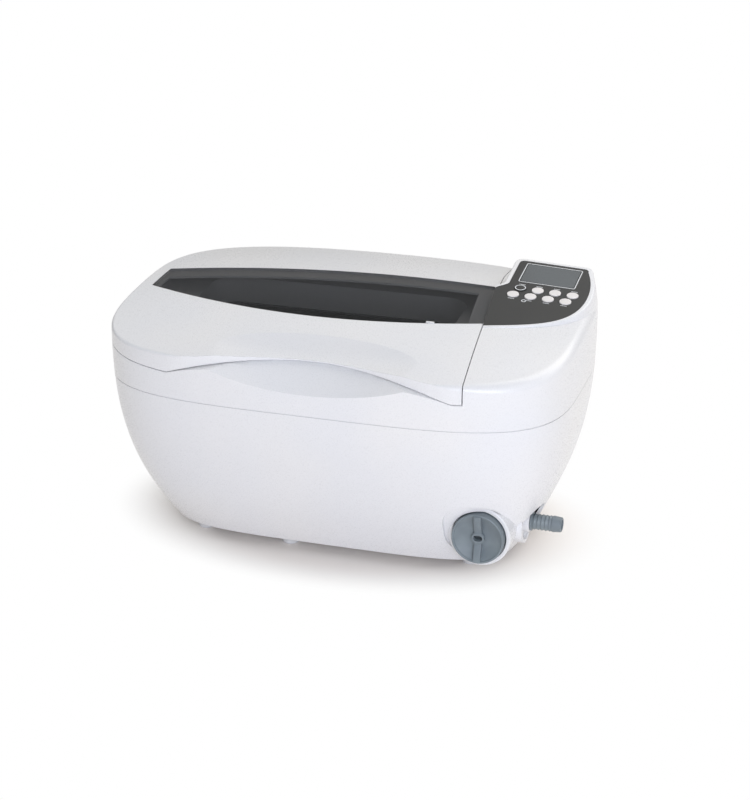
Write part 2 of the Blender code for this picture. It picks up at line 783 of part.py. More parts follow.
def keep_within_wall(solid, name, inset):
    """Trim what stands past the body's outline."""
    bounds = [(x, y) for x, y, _ in wall_ring(SHOULDER_Z, inset)]
    boolean(solid, build(name, *prism(bounds, PART_Z, CROWN_Z + SKY)), "INTERSECT")


def upper_housing():
    housing = build("upper_housing", *top_solid(0.0, 0.0, PART_Z + PART_GAP / 2), WHITE)
    hump_rings = [pod_ring(POD_RIM + POD_FLARE, POD_DEEP, POD_SLOPE), pod_ring(POD_RIM, POD_ROUND * 2)]
    hump_rings += [pod_ring(POD_RIM - POD_ROUND / 2, POD_ROUND / 2), pod_ring(POD_RIM - POD_ROUND, 0)]
    hump = build("pod_hump", *loft(hump_rings))
    keep_within_wall(hump, "pod_bounds", GAP)
    wall_zone = lid_zone("lid_zone_wall", -DECK_T, LID_GAP + WALL)
    dish_y = wall_y(0, DISH_Z, -1)
    dish = slanted_trough("finger_dish", DISH_R, dish_y, DISH_Z, DISH_ANGLE)
    dish_wall = slanted_trough("dish_wall", DISH_R, dish_y, DISH_Z, DISH_ANGLE, WALL)
    cavity = build("upper_cavity", *top_solid(WALL, WALL, PART_Z - WALL))
    hollow_rings = [pod_ring(POD_RIM - WALL, POD_DEEP), pod_ring(POD_RIM - WALL, WALL + PANEL_T)]
    hollow = build("pod_hollow", *loft(hollow_rings))
    keep_within_wall(hollow, "hollow_bounds", GAP + WALL)
    add(cavity, hollow)
    cut(cavity, wall_zone, dish_wall)
    collar = rounded_box(TANK_L + 2 * WALL, TANK_W + 2 * WALL, TANK_R + WALL, TANK_X, TANK_Y)
    collar_block = build("tank_collar", *prism(collar, COLLAR_Z, SEAT_REAR))
    mouth = rounded_box(TANK_L, TANK_W, TANK_R, TANK_X, TANK_Y)
    mouth_cut = build("tank_mouth", *prism(mouth, PART_Z, CROWN_Z + SKY))
    pocket = [pod_ring(GAP, PANEL_T + GAP), pod_ring(GAP, -SKY)]
    pocket_cut = build("panel_pocket", *loft(pocket))
    window = [pod_ring(-PANEL_LEDGE, POD_DEEP), pod_ring(-PANEL_LEDGE, -SKY)]
    window_cut = build("panel_window", *loft(window))
    add(housing, hump)
    cut(housing, cavity)
    add(housing, collar_block)
    cut(housing, lid_zone("lid_zone_deck", 0.0, LID_GAP), mouth_cut, dish, pocket_cut, window_cut)
    cut(housing, key_room())
    add_hinge_lugs(housing)
    return housing


def key_room():
    """Room in the pod's ledge for the keys' flanges."""
    radius = KEY_D / 2 + KEY_FLANGE + RUN_GAP
    shapes = [prism(circle(radius, 14, x, y), -2 * BOARD_DROP, SKY) for x, y in key_places()]
    return build("key_room", *joined(shapes), parent=PANEL_FRAME)


def hinge_arm(inner_y, low, high):
    """Side outline of a hinge leaf in (y, z) about the pin: a round end on an arm towards the wall."""
    end = arc(0.0, 0.0, HINGE_R, -90, 90, 8)
    return [(inner_y, high), (inner_y, low), *end]


def extruded_side(outline, x_low, x_high):
    """A prism along X of a (y, z) outline."""
    return loft([[(x, y, z) for y, z in outline] for x in (x_low, x_high)])


def add_hinge_lugs(housing):
    for index, frame in enumerate(hinge_frames()):
        outer = abs(HINGE_X[index]) + KNUCKLE_W / 2 + RUN_GAP + LUG_W
        reach = HINGE_Y - wall_y(outer, HINGE_Z, 1) + WALL
        leaf = hinge_arm(-reach, -HINGE_R - WALL, HINGE_R * 0.5)
        shapes = []
        for side in (-1, 1):
            near = side * (KNUCKLE_W / 2 + RUN_GAP)
            shapes.append(extruded_side(leaf, near, near + side * LUG_W))
        lugs = build(f"hinge_lugs_{index + 1}", *joined(shapes), frame=frame)
        add(housing, lugs)
    cut(housing, hinge_bore("housing_bore"))


def hinge_bore(name):
    """The pin holes of both hinges as one cutter."""
    radius = HINGE_PIN_D / 2 + GAP
    long = KNUCKLE_W / 2 + LUG_W + 2 * RUN_GAP
    shapes = []
    for frame in hinge_frames():
        verts, faces = turned([(radius, -long), (radius, long)], 16)
        shapes.append(([frame @ TO_RIGHT @ Vector(v) for v in verts], faces))
    return build(name, *joined(shapes))


def hinge_pins():
    half = KNUCKLE_W / 2 + LUG_W
    radius = HINGE_PIN_D / 2
    chamfer = radius * 0.2
    profile = [(radius - chamfer, -half), (radius, chamfer - half)]
    profile += [(radius, half - chamfer), (radius - chamfer, half)]
    for index, frame in enumerate(hinge_frames()):
        build(f"hinge_pin_{index + 1}", *turned(profile, 16), STEEL, frame=frame @ TO_RIGHT)


LID_AXIS = empty("lid_axis", Matrix.Translation((0, HINGE_Y, HINGE_Z)), ROOT)
FROM_LID_AXIS = Matrix.Translation((0, -HINGE_Y, -HINGE_Z))


def lid_bay(name, grow):
    """Upright cylinder that bays the middle of the lid's front edge."""
    radius = (LIP_HALF**2 + LIP_BAY**2) / (2 * LIP_BAY)
    ring = circle(radius + grow, 120, LIP_X, LIP_Y - radius)
    return build(name, *prism(ring, PART_Z, CROWN_Z + SKY))


def lid_shell():
    shell = build("lid_shell", *top_solid(0.0, 0.0, PART_Z), WHITE, FROM_LID_AXIS, LID_AXIS)
    boolean(shell, lid_zone("lid_zone_shell", LID_GAP, 0.0), "INTERSECT")
    inner = build("lid_cavity", *top_solid(LID_WALL, LID_TOP, PART_Z - WALL))
    edge_wall = lid_zone("lid_zone_cavity", -SKY, -LID_WALL)
    boolean(inner, edge_wall, "INTERSECT")
    cut(inner, lid_bay("lip_wall", LIP_WALL))
    scoop = lip_scoop("lip_scoop")
    rebate = build("window_rebate", *top_solid(0.0, -WALL, PART_Z))
    walls = prism(window_outline(GAP, right=-LEDGE_RIGHT), PART_Z, CROWN_Z + SKY)
    rebate_walls = build("rebate_walls", *walls)
    boolean(rebate, rebate_walls, "INTERSECT")
    cut(rebate, build("rebate_floor", *top_solid(-WALL, WINDOW_T + GAP, PART_Z - WALL)))
    through = window_outline(-LEDGE, LEDGE_REAR - LEDGE, LEDGE_RIGHT - LEDGE)
    opening = build("window_opening", *prism(through, PART_Z, CROWN_Z + SKY))
    cut(shell, inner, lid_bay("lip_bay", 0.0), scoop, rebate, opening)
    add_hinge_knuckles(shell)
    return shell


def add_hinge_knuckles(shell):
    half = KNUCKLE_W / 2
    inner_y = -HINGE_R - HINGE_CLEAR - 2 * LID_WALL
    low = HINGE_DROP + LID_GAP
    high = low + HINGE_R
    leaf = [(inner_y, high), (inner_y, low), (-HINGE_R, low)]
    leaf += [*arc(0.0, 0.0, HINGE_R, 180, 360, 10), (HINGE_R, low)]
    for index, frame in enumerate(hinge_frames()):
        knuckle = build(f"hinge_knuckle_{index + 1}", *extruded_side(leaf, -half, half), frame=frame)
        add(shell, knuckle)
    cut(shell, hinge_bore("lid_bore"))


def lid_window():
    pane = build("lid_window", *top_solid(0.0, 0.0, PART_Z), SMOKE, FROM_LID_AXIS, LID_AXIS)
    walls = build("pane_walls", *prism(window_outline(0.0, right=GAP), PART_Z, CROWN_Z + SKY))
    boolean(pane, walls, "INTERSECT")
    cut(pane, build("pane_underside", *top_solid(-WALL, WINDOW_T, PART_Z - WALL)))


def control_panel():
    """Dark face plate with key holes, a display cut-out and pegs for its board."""
    panel = build("control_panel", *loft([pod_ring(0.0, PANEL_T), pod_ring(0.0, 0.0)]), PANEL)
    holes = [prism(circle(KEY_D / 2 + RUN_GAP, 14, x, y), -SKY, SKY) for x, y in key_places()]
    window = box(DISPLAY_W + 2 * GAP, DISPLAY_H + 2 * GAP, -SKY, SKY, DISPLAY_X, DISPLAY_Y)
    pegs = []
    for x, y in peg_places():
        pegs.append(prism(circle(PEG_D / 2, 10, x, y), -BOARD_DROP, -PANEL_T / 2))
    add(panel, build("panel_pegs", *joined(pegs), parent=PANEL_FRAME))
    cut(panel, build("key_holes", *joined(holes), parent=PANEL_FRAME))
    cut(panel, build("display_hole", *window, parent=PANEL_FRAME))


def key_places():
    return [(x + KEY_PITCH * k, y) for x, y in KEY_ROWS for k in range(KEYS_IN_ROW)]


def peg_places():
    between = (KEY_ROWS[0][0] + KEY_ROWS[1][0] + KEY_PITCH) / 2
    mid = (KEY_ROWS[0][1] + KEY_ROWS[1][1]) / 2
    low = KEY_ROWS[1][1] - KEY_D / 2 - PEG_D
    return [(between + KEY_PITCH / 2, low), (between + KEY_PITCH * 1.5, low), (between - KEY_PITCH, mid)]


def keys():
    low = -PANEL_T - RUN_GAP - KEY_FLANGE_T
    radius = KEY_D / 2
    profile = [(radius + KEY_FLANGE, low), (radius + KEY_FLANGE, low + KEY_FLANGE_T)]
    profile += [(radius, low + KEY_FLANGE_T), (radius, KEY_PROUD * 0.4)]
    profile += [(radius - KEY_PROUD * 0.6, KEY_PROUD)]
    for index, (x, y) in enumerate(key_places()):
        key = build(f"key_{index + 1}", *turned(profile, 14), KEYS, parent=PANEL_FRAME)
        key.location = (x, y, 0)


def display():
    outline = rounded_box(DISPLAY_W, DISPLAY_H, DISPLAY_CORNER, DISPLAY_X, DISPLAY_Y, 2)
    build("display_lens", *prism(outline, -DISPLAY_T, 0), GLASS, parent=PANEL_FRAME)
    low = -BOARD_DROP
    wide = DISPLAY_W - 2 * PANEL_LEDGE
    tall = DISPLAY_H - 2 * PANEL_LEDGE
    module = box(wide, tall, low, -DISPLAY_T - GAP, DISPLAY_X, DISPLAY_Y)
    build("display_module", *module, BLACK, parent=PANEL_FRAME)


def control_board():
    high = -BOARD_DROP - GAP
    outline = local_outline(pod_outline(-PANEL_LEDGE - 2 * GAP))
    build("control_board", *prism(outline, high - BOARD_T, high), BOARD, parent=PANEL_FRAME)


def tank():
    """Deep-drawn tank with a flat flange, sloping foot and a drain hole."""
    flange_top = COLLAR_Z - GASKET_T - 2 * GAP

    def ring(inset, z, radius):
        outline = rounded_box(TANK_L - 2 * inset, TANK_W - 2 * inset, radius, TANK_X, TANK_Y)
        return [(x, y, z) for x, y in outline]

    foot = TANK_FOOT_R
    inside = []
    for k in range(4):
        bend = math.radians(30 * k)
        inset = TANK_T + foot * (1 - math.sin(bend))
        inside.append(ring(inset, TANK_BOTTOM_Z + foot * (1 - math.cos(bend)), TANK_R))
    outside = []
    for k in range(3, -1, -1):
        bend = math.radians(30 * k)
        reach = foot + TANK_T
        inset = reach * (1 - math.sin(bend))
        outside.append(ring(inset, TANK_BOTTOM_Z - TANK_T + reach * (1 - math.cos(bend)), TANK_R))
    rim = [ring(TANK_T, flange_top, TANK_R), ring(-FLANGE, flange_top, TANK_R + FLANGE)]
    rim += [ring(-FLANGE, flange_top - TANK_T, TANK_R + FLANGE), ring(0, flange_top - TANK_T, TANK_R)]
    vessel = build("tank", *loft([*inside, *rim, *outside]), STEEL)
    drain = prism(circle(BORE_D / 2, 20, DRAIN_X, DRAIN_Y), FLOOR_Z, TANK_BOTTOM_Z + foot)
    cut(vessel, build("tank_drain_hole", *drain))


def tank_gasket():
    low = COLLAR_Z - GASKET_T - GAP
    high = COLLAR_Z - GAP

    def ring(grow, z):
        outline = rounded_box(TANK_L + 2 * grow, TANK_W + 2 * grow, TANK_R + grow, TANK_X, TANK_Y)
        return [(x, y, z) for x, y in outline]

    rings = [ring(GAP, low), ring(WALL + GAP, low), ring(WALL + GAP, high), ring(GAP, high)]
    build("tank_gasket", *loft(rings, cyclic=True), SEAL)


def transducers():
    """Two bolt-clamped stacks under the tank: horn, ceramic rings and back mass."""
    top = TANK_BOTTOM_Z - TANK_T - GAP
    for index, side in enumerate((-1, 1)):
        place = Matrix.Translation((TANK_X + side * TRANSDUCER_X, TANK_Y, top))
        horn = [(PIEZO_D / 2, -HORN_H), (PIEZO_D / 2, -HORN_H * 0.75)]
        horn += [(HORN_D / 2, -HORN_H * 0.3), (HORN_D / 2, 0.0)]
        build(f"transducer_horn_{index + 1}", *turned(horn, 24), ALUMINIUM, place)
        low = -HORN_H - GAP
        neck = PIEZO_D / 2 * 0.95
        ring = PIEZO_H / 2
        stack = [(PIEZO_D / 2, low - PIEZO_H), (PIEZO_D / 2, low - ring - PIEZO_GROOVE), (neck, low - ring)]
        stack += [(PIEZO_D / 2, low - ring + PIEZO_GROOVE), (PIEZO_D / 2, low)]
        build(f"piezo_stack_{index + 1}", *turned(stack, 24), CERAMIC, place)
        base = low - PIEZO_H - GAP
        chamfer = BACK_H * 0.12
        mass = [(PIEZO_D / 2 - chamfer, base - BACK_H), (PIEZO_D / 2, base - BACK_H + chamfer)]
        mass += [(PIEZO_D / 2, base)]
        build(f"back_mass_{index + 1}", *turned(mass, 24), STEEL, place)


def heater_pad():
    high = TANK_BOTTOM_Z - TANK_T - GAP
    outline = rounded_box(HEATER_W, HEATER_D, HEATER_W * 0.1, TANK_X, TANK_Y)
    build("heater_pad", *prism(outline, high - HEATER_T, high), HEATER)


def drain_elbow():
    """Outlet under the tank that turns towards the valve."""
    high = TANK_BOTTOM_Z - TANK_T - GAP
    low = VALVE_Z - DRAIN_D / 2
    place = Matrix.Translation((DRAIN_X, DRAIN_Y, 0))
    flange = DRAIN_D / 2 + WALL
    body = [(DRAIN_D / 2, low), (DRAIN_D / 2, high - WALL), (flange, high - WALL), (flange, high)]
    elbow = build("drain_elbow", *turned(body, 20), GREY, place)
    along = Matrix.Translation((DRAIN_X, DRAIN_Y, VALVE_Z)) @ TO_RIGHT
    reach = DRAIN_D / 2 + SPIGOT_L
    spigot = build("elbow_spigot", *turned([(SPIGOT_D / 2, 0), (SPIGOT_D / 2, reach)], 16), frame=along)
    upright = build("elbow_bore", *turned([(BORE_D / 2, VALVE_Z), (BORE_D / 2, high + SKY)], 16), frame=place)
    passage = turned([(BORE_D / 2, -BORE_D / 4), (BORE_D / 2, reach + SKY)], 16)
    level = build("spigot_bore", *passage, frame=along)
    add(elbow, spigot)
    cut(elbow, upright, level)


def drain_hose():
    """Hose with a smooth sideways bend from the elbow to the valve."""
    start = DRAIN_X + DRAIN_D / 2 + GAP
    end = VALVE_X - VALVE_HALF - GAP
    inner = SPIGOT_D / 2 + GAP
    outer = inner + HOSE_T
    straight = SPIGOT_L + GAP
    stations = 8
    middle = []
    for k in range(stations + 1):
        x = start + (end - start) * k / stations
        bend = smooth_step((x - start - straight) / (end - start - 2 * straight))
        middle.append(Vector((x, DRAIN_Y + (VALVE_Y - DRAIN_Y) * bend, VALVE_Z)))
    rings = []
    for radius, order in ((outer, range(stations + 1)), (inner, range(stations, -1, -1))):
        for k in order:
            ahead = middle[min(k + 1, stations)] - middle[max(k - 1, 0)]
            side = ahead.cross(Vector((0, 0, 1))).normalized()
            rings.append([middle[k] + side * u + Vector((0, 0, v)) for u, v in circle(radius, 12)])
    build("drain_hose", *loft(rings, cyclic=True), SEAL)


KNOB_AXIS = empty("knob_axis", Matrix.Translation((VALVE_X, VALVE_Y, VALVE_Z)) @ TO_FRONT, ROOT)
KNOB_BACK = VALVE_Y - KNOB_Y - KNOB_T


def valve_body():
    """Body with a through bore, a seat for the ball and a neck towards the knob."""
    place = Matrix.Translation((VALVE_X, VALVE_Y, VALVE_Z))
    half = VALVE_HALF
    chamfer = WALL / 2
    profile = [(VALVE_D / 2 - chamfer, -half), (VALVE_D / 2, chamfer - half), (VALVE_D / 2, half - chamfer)]
    profile += [(VALVE_D / 2 - chamfer, half)]
    body = build("valve_body", *turned(profile, 20), GREY, place @ TO_RIGHT)
    spigot = turned([(SPIGOT_D / 2, -half - SPIGOT_L), (SPIGOT_D / 2, 0)], 16)
    inlet_spigot = build("valve_spigot", *spigot, frame=place @ TO_RIGHT)
    reach = KNOB_BACK - RUN_GAP - SHROUD_FLOOR - GAP
    neck = build("valve_neck", *turned([(NECK_D / 2, 0), (NECK_D / 2, reach)], 16), frame=place @ TO_FRONT)
    bore = build("valve_bore", *turned([(BORE_D / 2, -SKY), (BORE_D / 2, SKY)], 16), frame=place @ TO_RIGHT)
    seat = build("ball_seat", *ball_rings(BALL_D / 2 + RUN_GAP, 16), frame=place)
    stem_r = STEM_D / 2 + RUN_GAP
    stem = build("neck_bore", *turned([(stem_r, 0), (stem_r, SKY)], 16), frame=place @ TO_FRONT)
    add(body, inlet_spigot, neck)
    cut(body, bore, seat, stem)


def ball_rings(radius, steps):
    """A ball of rings, with small flat poles."""
    bends = [math.radians(-80 + 160 * k / 6) for k in range(7)]
    return turned([(radius * math.cos(b), radius * math.sin(b)) for b in bends], steps)


def valve_plug():
    """Ball and stem in one moulding; at rest the ball's bore stands upright, across the flow."""
    plug = build("valve_plug", *ball_rings(BALL_D / 2, 16), GREY, parent=KNOB_AXIS)
    end = KNOB_BACK + KNOB_T * 0.5
    stem = build("plug_stem", *turned([(STEM_D / 2, 0), (STEM_D / 2, end)], 16), parent=KNOB_AXIS)
    bore = turned([(BORE_D / 2, -SKY), (BORE_D / 2, SKY)], 16)
    across = Matrix.Rotation(math.radians(90), 4, "X")
    add(plug, stem)
    cut(plug, build("plug_bore", *bore, frame=across, parent=KNOB_AXIS))


def drain_knob():
    """Round knob with a deep dished face, a grip bar that falls to a slotted hub."""
    radius = KNOB_D / 2
    face = KNOB_BACK + KNOB_T
    rim = KNOB_T * 0.16
    profile = [(radius, KNOB_BACK), (radius, face - rim), (radius - rim * 0.5, face)]
    profile += [(radius - rim * 1.2, face), (radius * 0.70, face - KNOB_T * 0.32)]
    profile += [(radius * 0.34, face - KNOB_T * 0.48)]
    knob = build("drain_knob", *turned(profile, 28), GREY, parent=KNOB_AXIS)
    low = KNOB_BACK + KNOB_T * 0.3
    top = face + KNOB_BAR_PROUD
    hub_top = face - KNOB_T * 0.2
    hub_r = KNOB_HUB_D / 2
    end = radius - rim * 0.7
    flat = radius * 0.70
    side = [(-end, low), (end, low), (end, top), (flat, top), (hub_r, hub_top), (-hub_r, hub_top)]
    side += [(-flat, top), (-end, top)]
    grip = build("knob_grip", *extruded_side(side, -KNOB_BAR_W / 2, KNOB_BAR_W / 2), parent=KNOB_AXIS)
    hub = build("knob_hub", *turned([(hub_r, low), (hub_r, hub_top + GAP)], 24), parent=KNOB_AXIS)
    slot = rounded_box(KNOB_SLOT_W, KNOB_SLOT_H, KNOB_SLOT_H * 0.45, 0.0, 0.0, 4)
    floor = KNOB_BACK + KNOB_T * 0.5 + GAP
    socket = turned([(STEM_D / 2 + GAP, KNOB_BACK - SKY), (STEM_D / 2 + GAP, floor)], 20)
    add(knob, grip, hub)
    cut(knob, build("knob_slot", *prism(slot, floor - GAP, top + SKY), parent=KNOB_AXIS))
    cut(knob, build("knob_socket", *socket, parent=KNOB_AXIS))


def hose_barb():
    """Barbed outlet through the right-hand wall, with a flange against the wall's collar."""
    start = VALVE_X + VALVE_HALF + GAP
    seat = OUTLET_FLOOR_X + COLLAR_L + GAP
    root = SPIGOT_D / 2
    first = seat + BARB_FLANGE_T
    pitch = (BARB_TIP_X - first) / (BARB_COUNT + 1)
    neck = BARB_D / 2 * 0.82
    profile = [(BORE_D / 2, start), (root, start), (root, seat), (BARB_FLANGE_D / 2, seat)]
    profile += [(BARB_FLANGE_D / 2, first), (neck, first)]
    for k in range(BARB_COUNT):
        x = first + pitch * (k + 1)
        profile += [(neck, x), (BARB_D / 2, x + pitch * 0.08), (BARB_D / 2, x + pitch * 0.25)]
    profile += [(neck * 0.95, BARB_TIP_X), (BORE_D / 2, BARB_TIP_X)]
    place = Matrix.Translation((0, VALVE_Y, VALVE_Z)) @ TO_RIGHT
    build("hose_barb", *turned(profile, 18, cyclic=True), GREY, place)


def base_plate():
    """Bottom cover with intake slots under the fan."""
    low = FOOT_HEIGHT + GAP
    inset = BASE_LEDGE - BASE_OVERLAP
    rings = [wall_ring(FLOOR_Z, inset, low), wall_ring(FLOOR_Z, inset, BASE_TOP)]
    plate = build("base_plate", *loft(rings), WHITE)
    slots = []
    for k in range(VENT_COUNT):
        x = FAN_X + VENT_PITCH * (k - (VENT_COUNT - 1) / 2)
        half = math.sqrt((FAN_BORE / 2) ** 2 - (x - FAN_X) ** 2) - VENT_W
        slots.append(box(VENT_W, 2 * half, 0, SKY / 2, x, FAN_Y))
    cut(plate, build("base_slots", *joined(slots)))


def foot_places():
    """Feet at the four corners and one more at the front and the rear."""
    places = []
    for x in (-FOOT_X, FOOT_MID_X, FOOT_X):
        for side in (-1, 1):
            places.append((x, wall_y(x, FLOOR_Z, side) - side * FOOT_INSET))
    return places


def feet():
    radius = FOOT_D / 2
    profile = [(radius * 0.82, 0), (radius * 0.92, FOOT_HEIGHT * 0.12), (radius, FOOT_HEIGHT)]
    for index, (x, y) in enumerate(foot_places()):
        build(f"foot_{index + 1}", *turned(profile, 16), RUBBER, Matrix.Translation((x, y, 0)))


def fan():
    """Intake fan on the base plate: frame with a spider, and a rotor of twisted blades."""
    low = BASE_TOP + GAP
    outline = rounded_box(FAN_SIZE, FAN_SIZE, FAN_CORNER, FAN_X, FAN_Y, 3)
    frame = build("fan_frame", *prism(outline, low, low + FAN_H), BLACK)
    bore = prism(circle(FAN_BORE / 2, 28, FAN_X, FAN_Y), 0, low + SKY)
    cut(frame, build("fan_bore", *bore))
    spider_t = FAN_H * 0.15
    arms = build("fan_spider", *box(FAN_SIZE * 0.97, FAN_HUB * 0.25, low, low + spider_t, FAN_X, FAN_Y))
    cross = build("fan_cross", *box(FAN_HUB * 0.25, FAN_SIZE * 0.97, low, low + spider_t, FAN_X, FAN_Y))
    hub = build("fan_motor", *prism(circle(FAN_HUB / 2, 24, FAN_X, FAN_Y), low, low + spider_t))
    add(frame, arms, cross, hub)
    axis = empty("fan_axis", Matrix.Translation((FAN_X, FAN_Y, low + spider_t + RUN_GAP)), ROOT)
    tip = FAN_BORE / 2 - 2 * RUN_GAP
    high = FAN_H - spider_t - 2 * RUN_GAP
    rings = []
    for k in range(4):
        rise = k / 3
        ring = []
        for step in range(FAN_BLADES * 6):
            phase = step % 6
            turn = 2 * math.pi * step / (FAN_BLADES * 6) + math.radians(30) * rise
            radius = tip if phase in (0, 1) else FAN_HUB / 2
            ring.append((radius * math.cos(turn), radius * math.sin(turn), high * rise))
        rings.append(ring)
    build("fan_rotor", *loft(rings), BLACK, parent=axis)


def power_board():
    """Upright bracket on the base plate with the board, its transformer and its heat sink."""
    low = BASE_TOP + GAP
    x = BRACKET_X
    face = BRACKET_Y
    side = [(face, low), (face + BRACKET_FOOT, low), (face + BRACKET_FOOT, low + BRACKET_T)]
    side += [(face + BRACKET_T, low + BRACKET_T), (face + BRACKET_T, low + BRACKET_H)]
    side += [(face, low + BRACKET_H)]
    build("board_bracket", *extruded_side(side, x - BRACKET_W / 2, x + BRACKET_W / 2), ALUMINIUM)
    front = face + BRACKET_T + GAP
    back = front + BOARD_T
    board_low = low + BRACKET_T + GAP
    board_high = low + BRACKET_H
    board = box(BRACKET_W, BOARD_T, board_low, board_high, x, (front + back) / 2)
    build("power_board", *board, BOARD)
    sink_low = board_high - SINK_H - WALL
    comb = []
    pitch = SINK_W / SINK_FINS
    left = x - SINK_W / 2
    base = back + GAP
    web = base + WALL
    for k in range(SINK_FINS):
        start = left + pitch * k
        comb += [(start, base + SINK_DEPTH), (start + pitch * FIN_SHARE, base + SINK_DEPTH)]
        if k < SINK_FINS - 1:
            comb += [(start + pitch * FIN_SHARE, web), (start + pitch, web)]
    right = left + pitch * (SINK_FINS - 1 + FIN_SHARE)
    comb += [(right, base), (left, base)]
    build("heat_sink", *prism(comb, sink_low, sink_low + SINK_H), ALUMINIUM)
    core_low = sink_low - WALL - CORE_H
    core = box(CORE_W, CORE_DEPTH, core_low, core_low + CORE_H, x, base + CORE_DEPTH / 2)
    transformer = build("transformer", *core, FERRITE)
    coil_r = CORE_DEPTH * 0.55
    place = Matrix.Translation((x, base + CORE_DEPTH / 2 + coil_r - CORE_DEPTH / 2, core_low))
    coil = turned([(coil_r, CORE_H * 0.2), (coil_r, CORE_H * 0.8)], 24)
    add(transformer, build("transformer_coil", *coil, frame=place))


lower_housing()
upper_housing()
base_plate()
feet()
lid_shell()
lid_window()
hinge_pins()
control_panel()
keys()
display()
control_board()
tank()
tank_gasket()
transducers()
heater_pad()
drain_elbow()
drain_hose()
valve_body()
valve_plug()
drain_knob()
hose_barb()
mains_inlet()
fan()
power_board()
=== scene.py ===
"""Looks of a bench-top ultrasonic cleaner, laid out as an add-on and run as a script."""

import math

import bmesh
import bpy
from bpy.props import FloatProperty, FloatVectorProperty, IntProperty, PointerProperty
from mathutils import Matrix, Vector


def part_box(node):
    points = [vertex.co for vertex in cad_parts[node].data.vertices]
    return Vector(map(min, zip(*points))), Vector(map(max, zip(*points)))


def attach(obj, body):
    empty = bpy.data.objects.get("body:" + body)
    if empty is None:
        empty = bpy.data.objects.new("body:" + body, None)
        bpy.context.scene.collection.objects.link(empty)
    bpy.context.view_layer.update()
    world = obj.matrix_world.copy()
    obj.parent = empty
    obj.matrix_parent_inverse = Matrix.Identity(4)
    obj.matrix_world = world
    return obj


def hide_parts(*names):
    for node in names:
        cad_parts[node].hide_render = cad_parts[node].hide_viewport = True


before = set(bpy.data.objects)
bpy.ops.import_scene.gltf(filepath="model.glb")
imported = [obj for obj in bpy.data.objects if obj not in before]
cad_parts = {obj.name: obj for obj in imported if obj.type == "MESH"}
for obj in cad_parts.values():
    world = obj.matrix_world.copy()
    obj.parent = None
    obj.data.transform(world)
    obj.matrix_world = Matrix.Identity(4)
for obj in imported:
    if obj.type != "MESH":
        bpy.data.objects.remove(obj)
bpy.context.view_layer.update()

bl_info = {
    "name": "Ultrasonic cleaner looks",
    "version": (1, 0, 0),
    "blender": (4, 5, 0),
    "location": "View3D > Sidebar > Cleaner",
    "description": "Builds the visible shells, finishes and studio of a bench-top ultrasonic cleaner",
    "category": "Object",
}

# Shape of the mouldings, in metres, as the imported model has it, apart from the lid's scoop, which
# is lower at the lip here. Front is -Y, right is +X.
HALF_L = 0.200
HALF_D = 0.1326
CROWN_Z = 0.2057
REAR_RISE = 0.0083
DROP_Y = 0.0107
DROP_X = 0.0080
SHOULDER_Z = 0.1907
PART_Z = 0.1460
TAPER_X = 0.0459
TAPER_Y = 0.0491
BOWL_X = 2.9
BOWL_Y = 2.15
ROUND_TOP = 3.8
ROUND_BASE = 4.2
EDGE_ROUND = 0.0025
END_ROUND = 0.0088
END_ROUND_START = 0.090
END_ROUND_RUN = 0.080
DOME_REACH = 0.985
WALL = 0.0030
GAP = 0.0003
PART_GAP = 0.0006
TONGUE_DEEP = 0.0007
TONGUE_T = 0.0012
LID_GAP = 0.0008
RUN_GAP = 0.0004
FOOT_HEIGHT = 0.0072
FLOOR_Z = 0.0098
BASE_LEDGE = 0.0140
SEAT_FRONT = 0.1680
SEAT_MID = 0.1834
SEAT_REAR = 0.1870
DECK_T = 0.0030
# Lid, its lip and scoop, and the finger dish.
LID_EDGE_X = 0.1150
LID_EDGE_SLANT = 0.0962
LID_STRAIGHT_Y = HALF_D - 0.0380
LID_WALL = 0.0025
LID_TOP = 0.0042
LIP_X = -0.002
ARCH_RISE = 0.0123
ARCH_HALF = 0.120996
LIP_BAY = 0.0255
LIP_WALL = 0.0040
LIP_Z = 0.1895
LIP_Y = LIP_BAY - HALF_D
ARCH_RUN = LIP_BAY * 1.8
SCOOP_HALF = ARCH_HALF * 1.25
SCOOP_Z = 0.1860
SCOOP_SLOPE = 0.15
SCOOP_REACH = 0.0300
SCOOP_CLIMB = 0.00675
SCOOP_R = 0.8
SCOOP_T = 0.0020
DISH_Z = 0.1650
DISH_ANGLE = math.radians(36.0)
DISH_R = 0.350
# Window, its clip and the ledge under it.
WINDOW_T = 0.0020
WINDOW_LEFT = -0.187
WINDOW_FRONT_L = -0.003
WINDOW_FRONT_M = -0.0455
WINDOW_FRONT_R = -0.0215
WINDOW_REAR_L = 0.039
WINDOW_REAR_R = 0.0625
WINDOW_BOW = 0.007
CLIP_X = 0.0750
CLIP_W = 0.0072
CLIP_D = 0.0034
CLIP_R = 0.0010
CLIP_PROUD = 0.0004
LEDGE = 0.0050
LEDGE_REAR = 0.0160
LEDGE_RIGHT = 0.0130
# Hinges.
HINGE_R = 0.0045
HINGE_PIN_D = 0.0040
HINGE_DROP = 0.0040
HINGE_CLEAR = 0.0006
HINGE_X = (-0.105, 0.055)
HINGE_Y = HALF_D + HINGE_R + HINGE_CLEAR
HINGE_Z = SEAT_REAR - HINGE_DROP
KNUCKLE_W = 0.0160
LUG_W = 0.0050
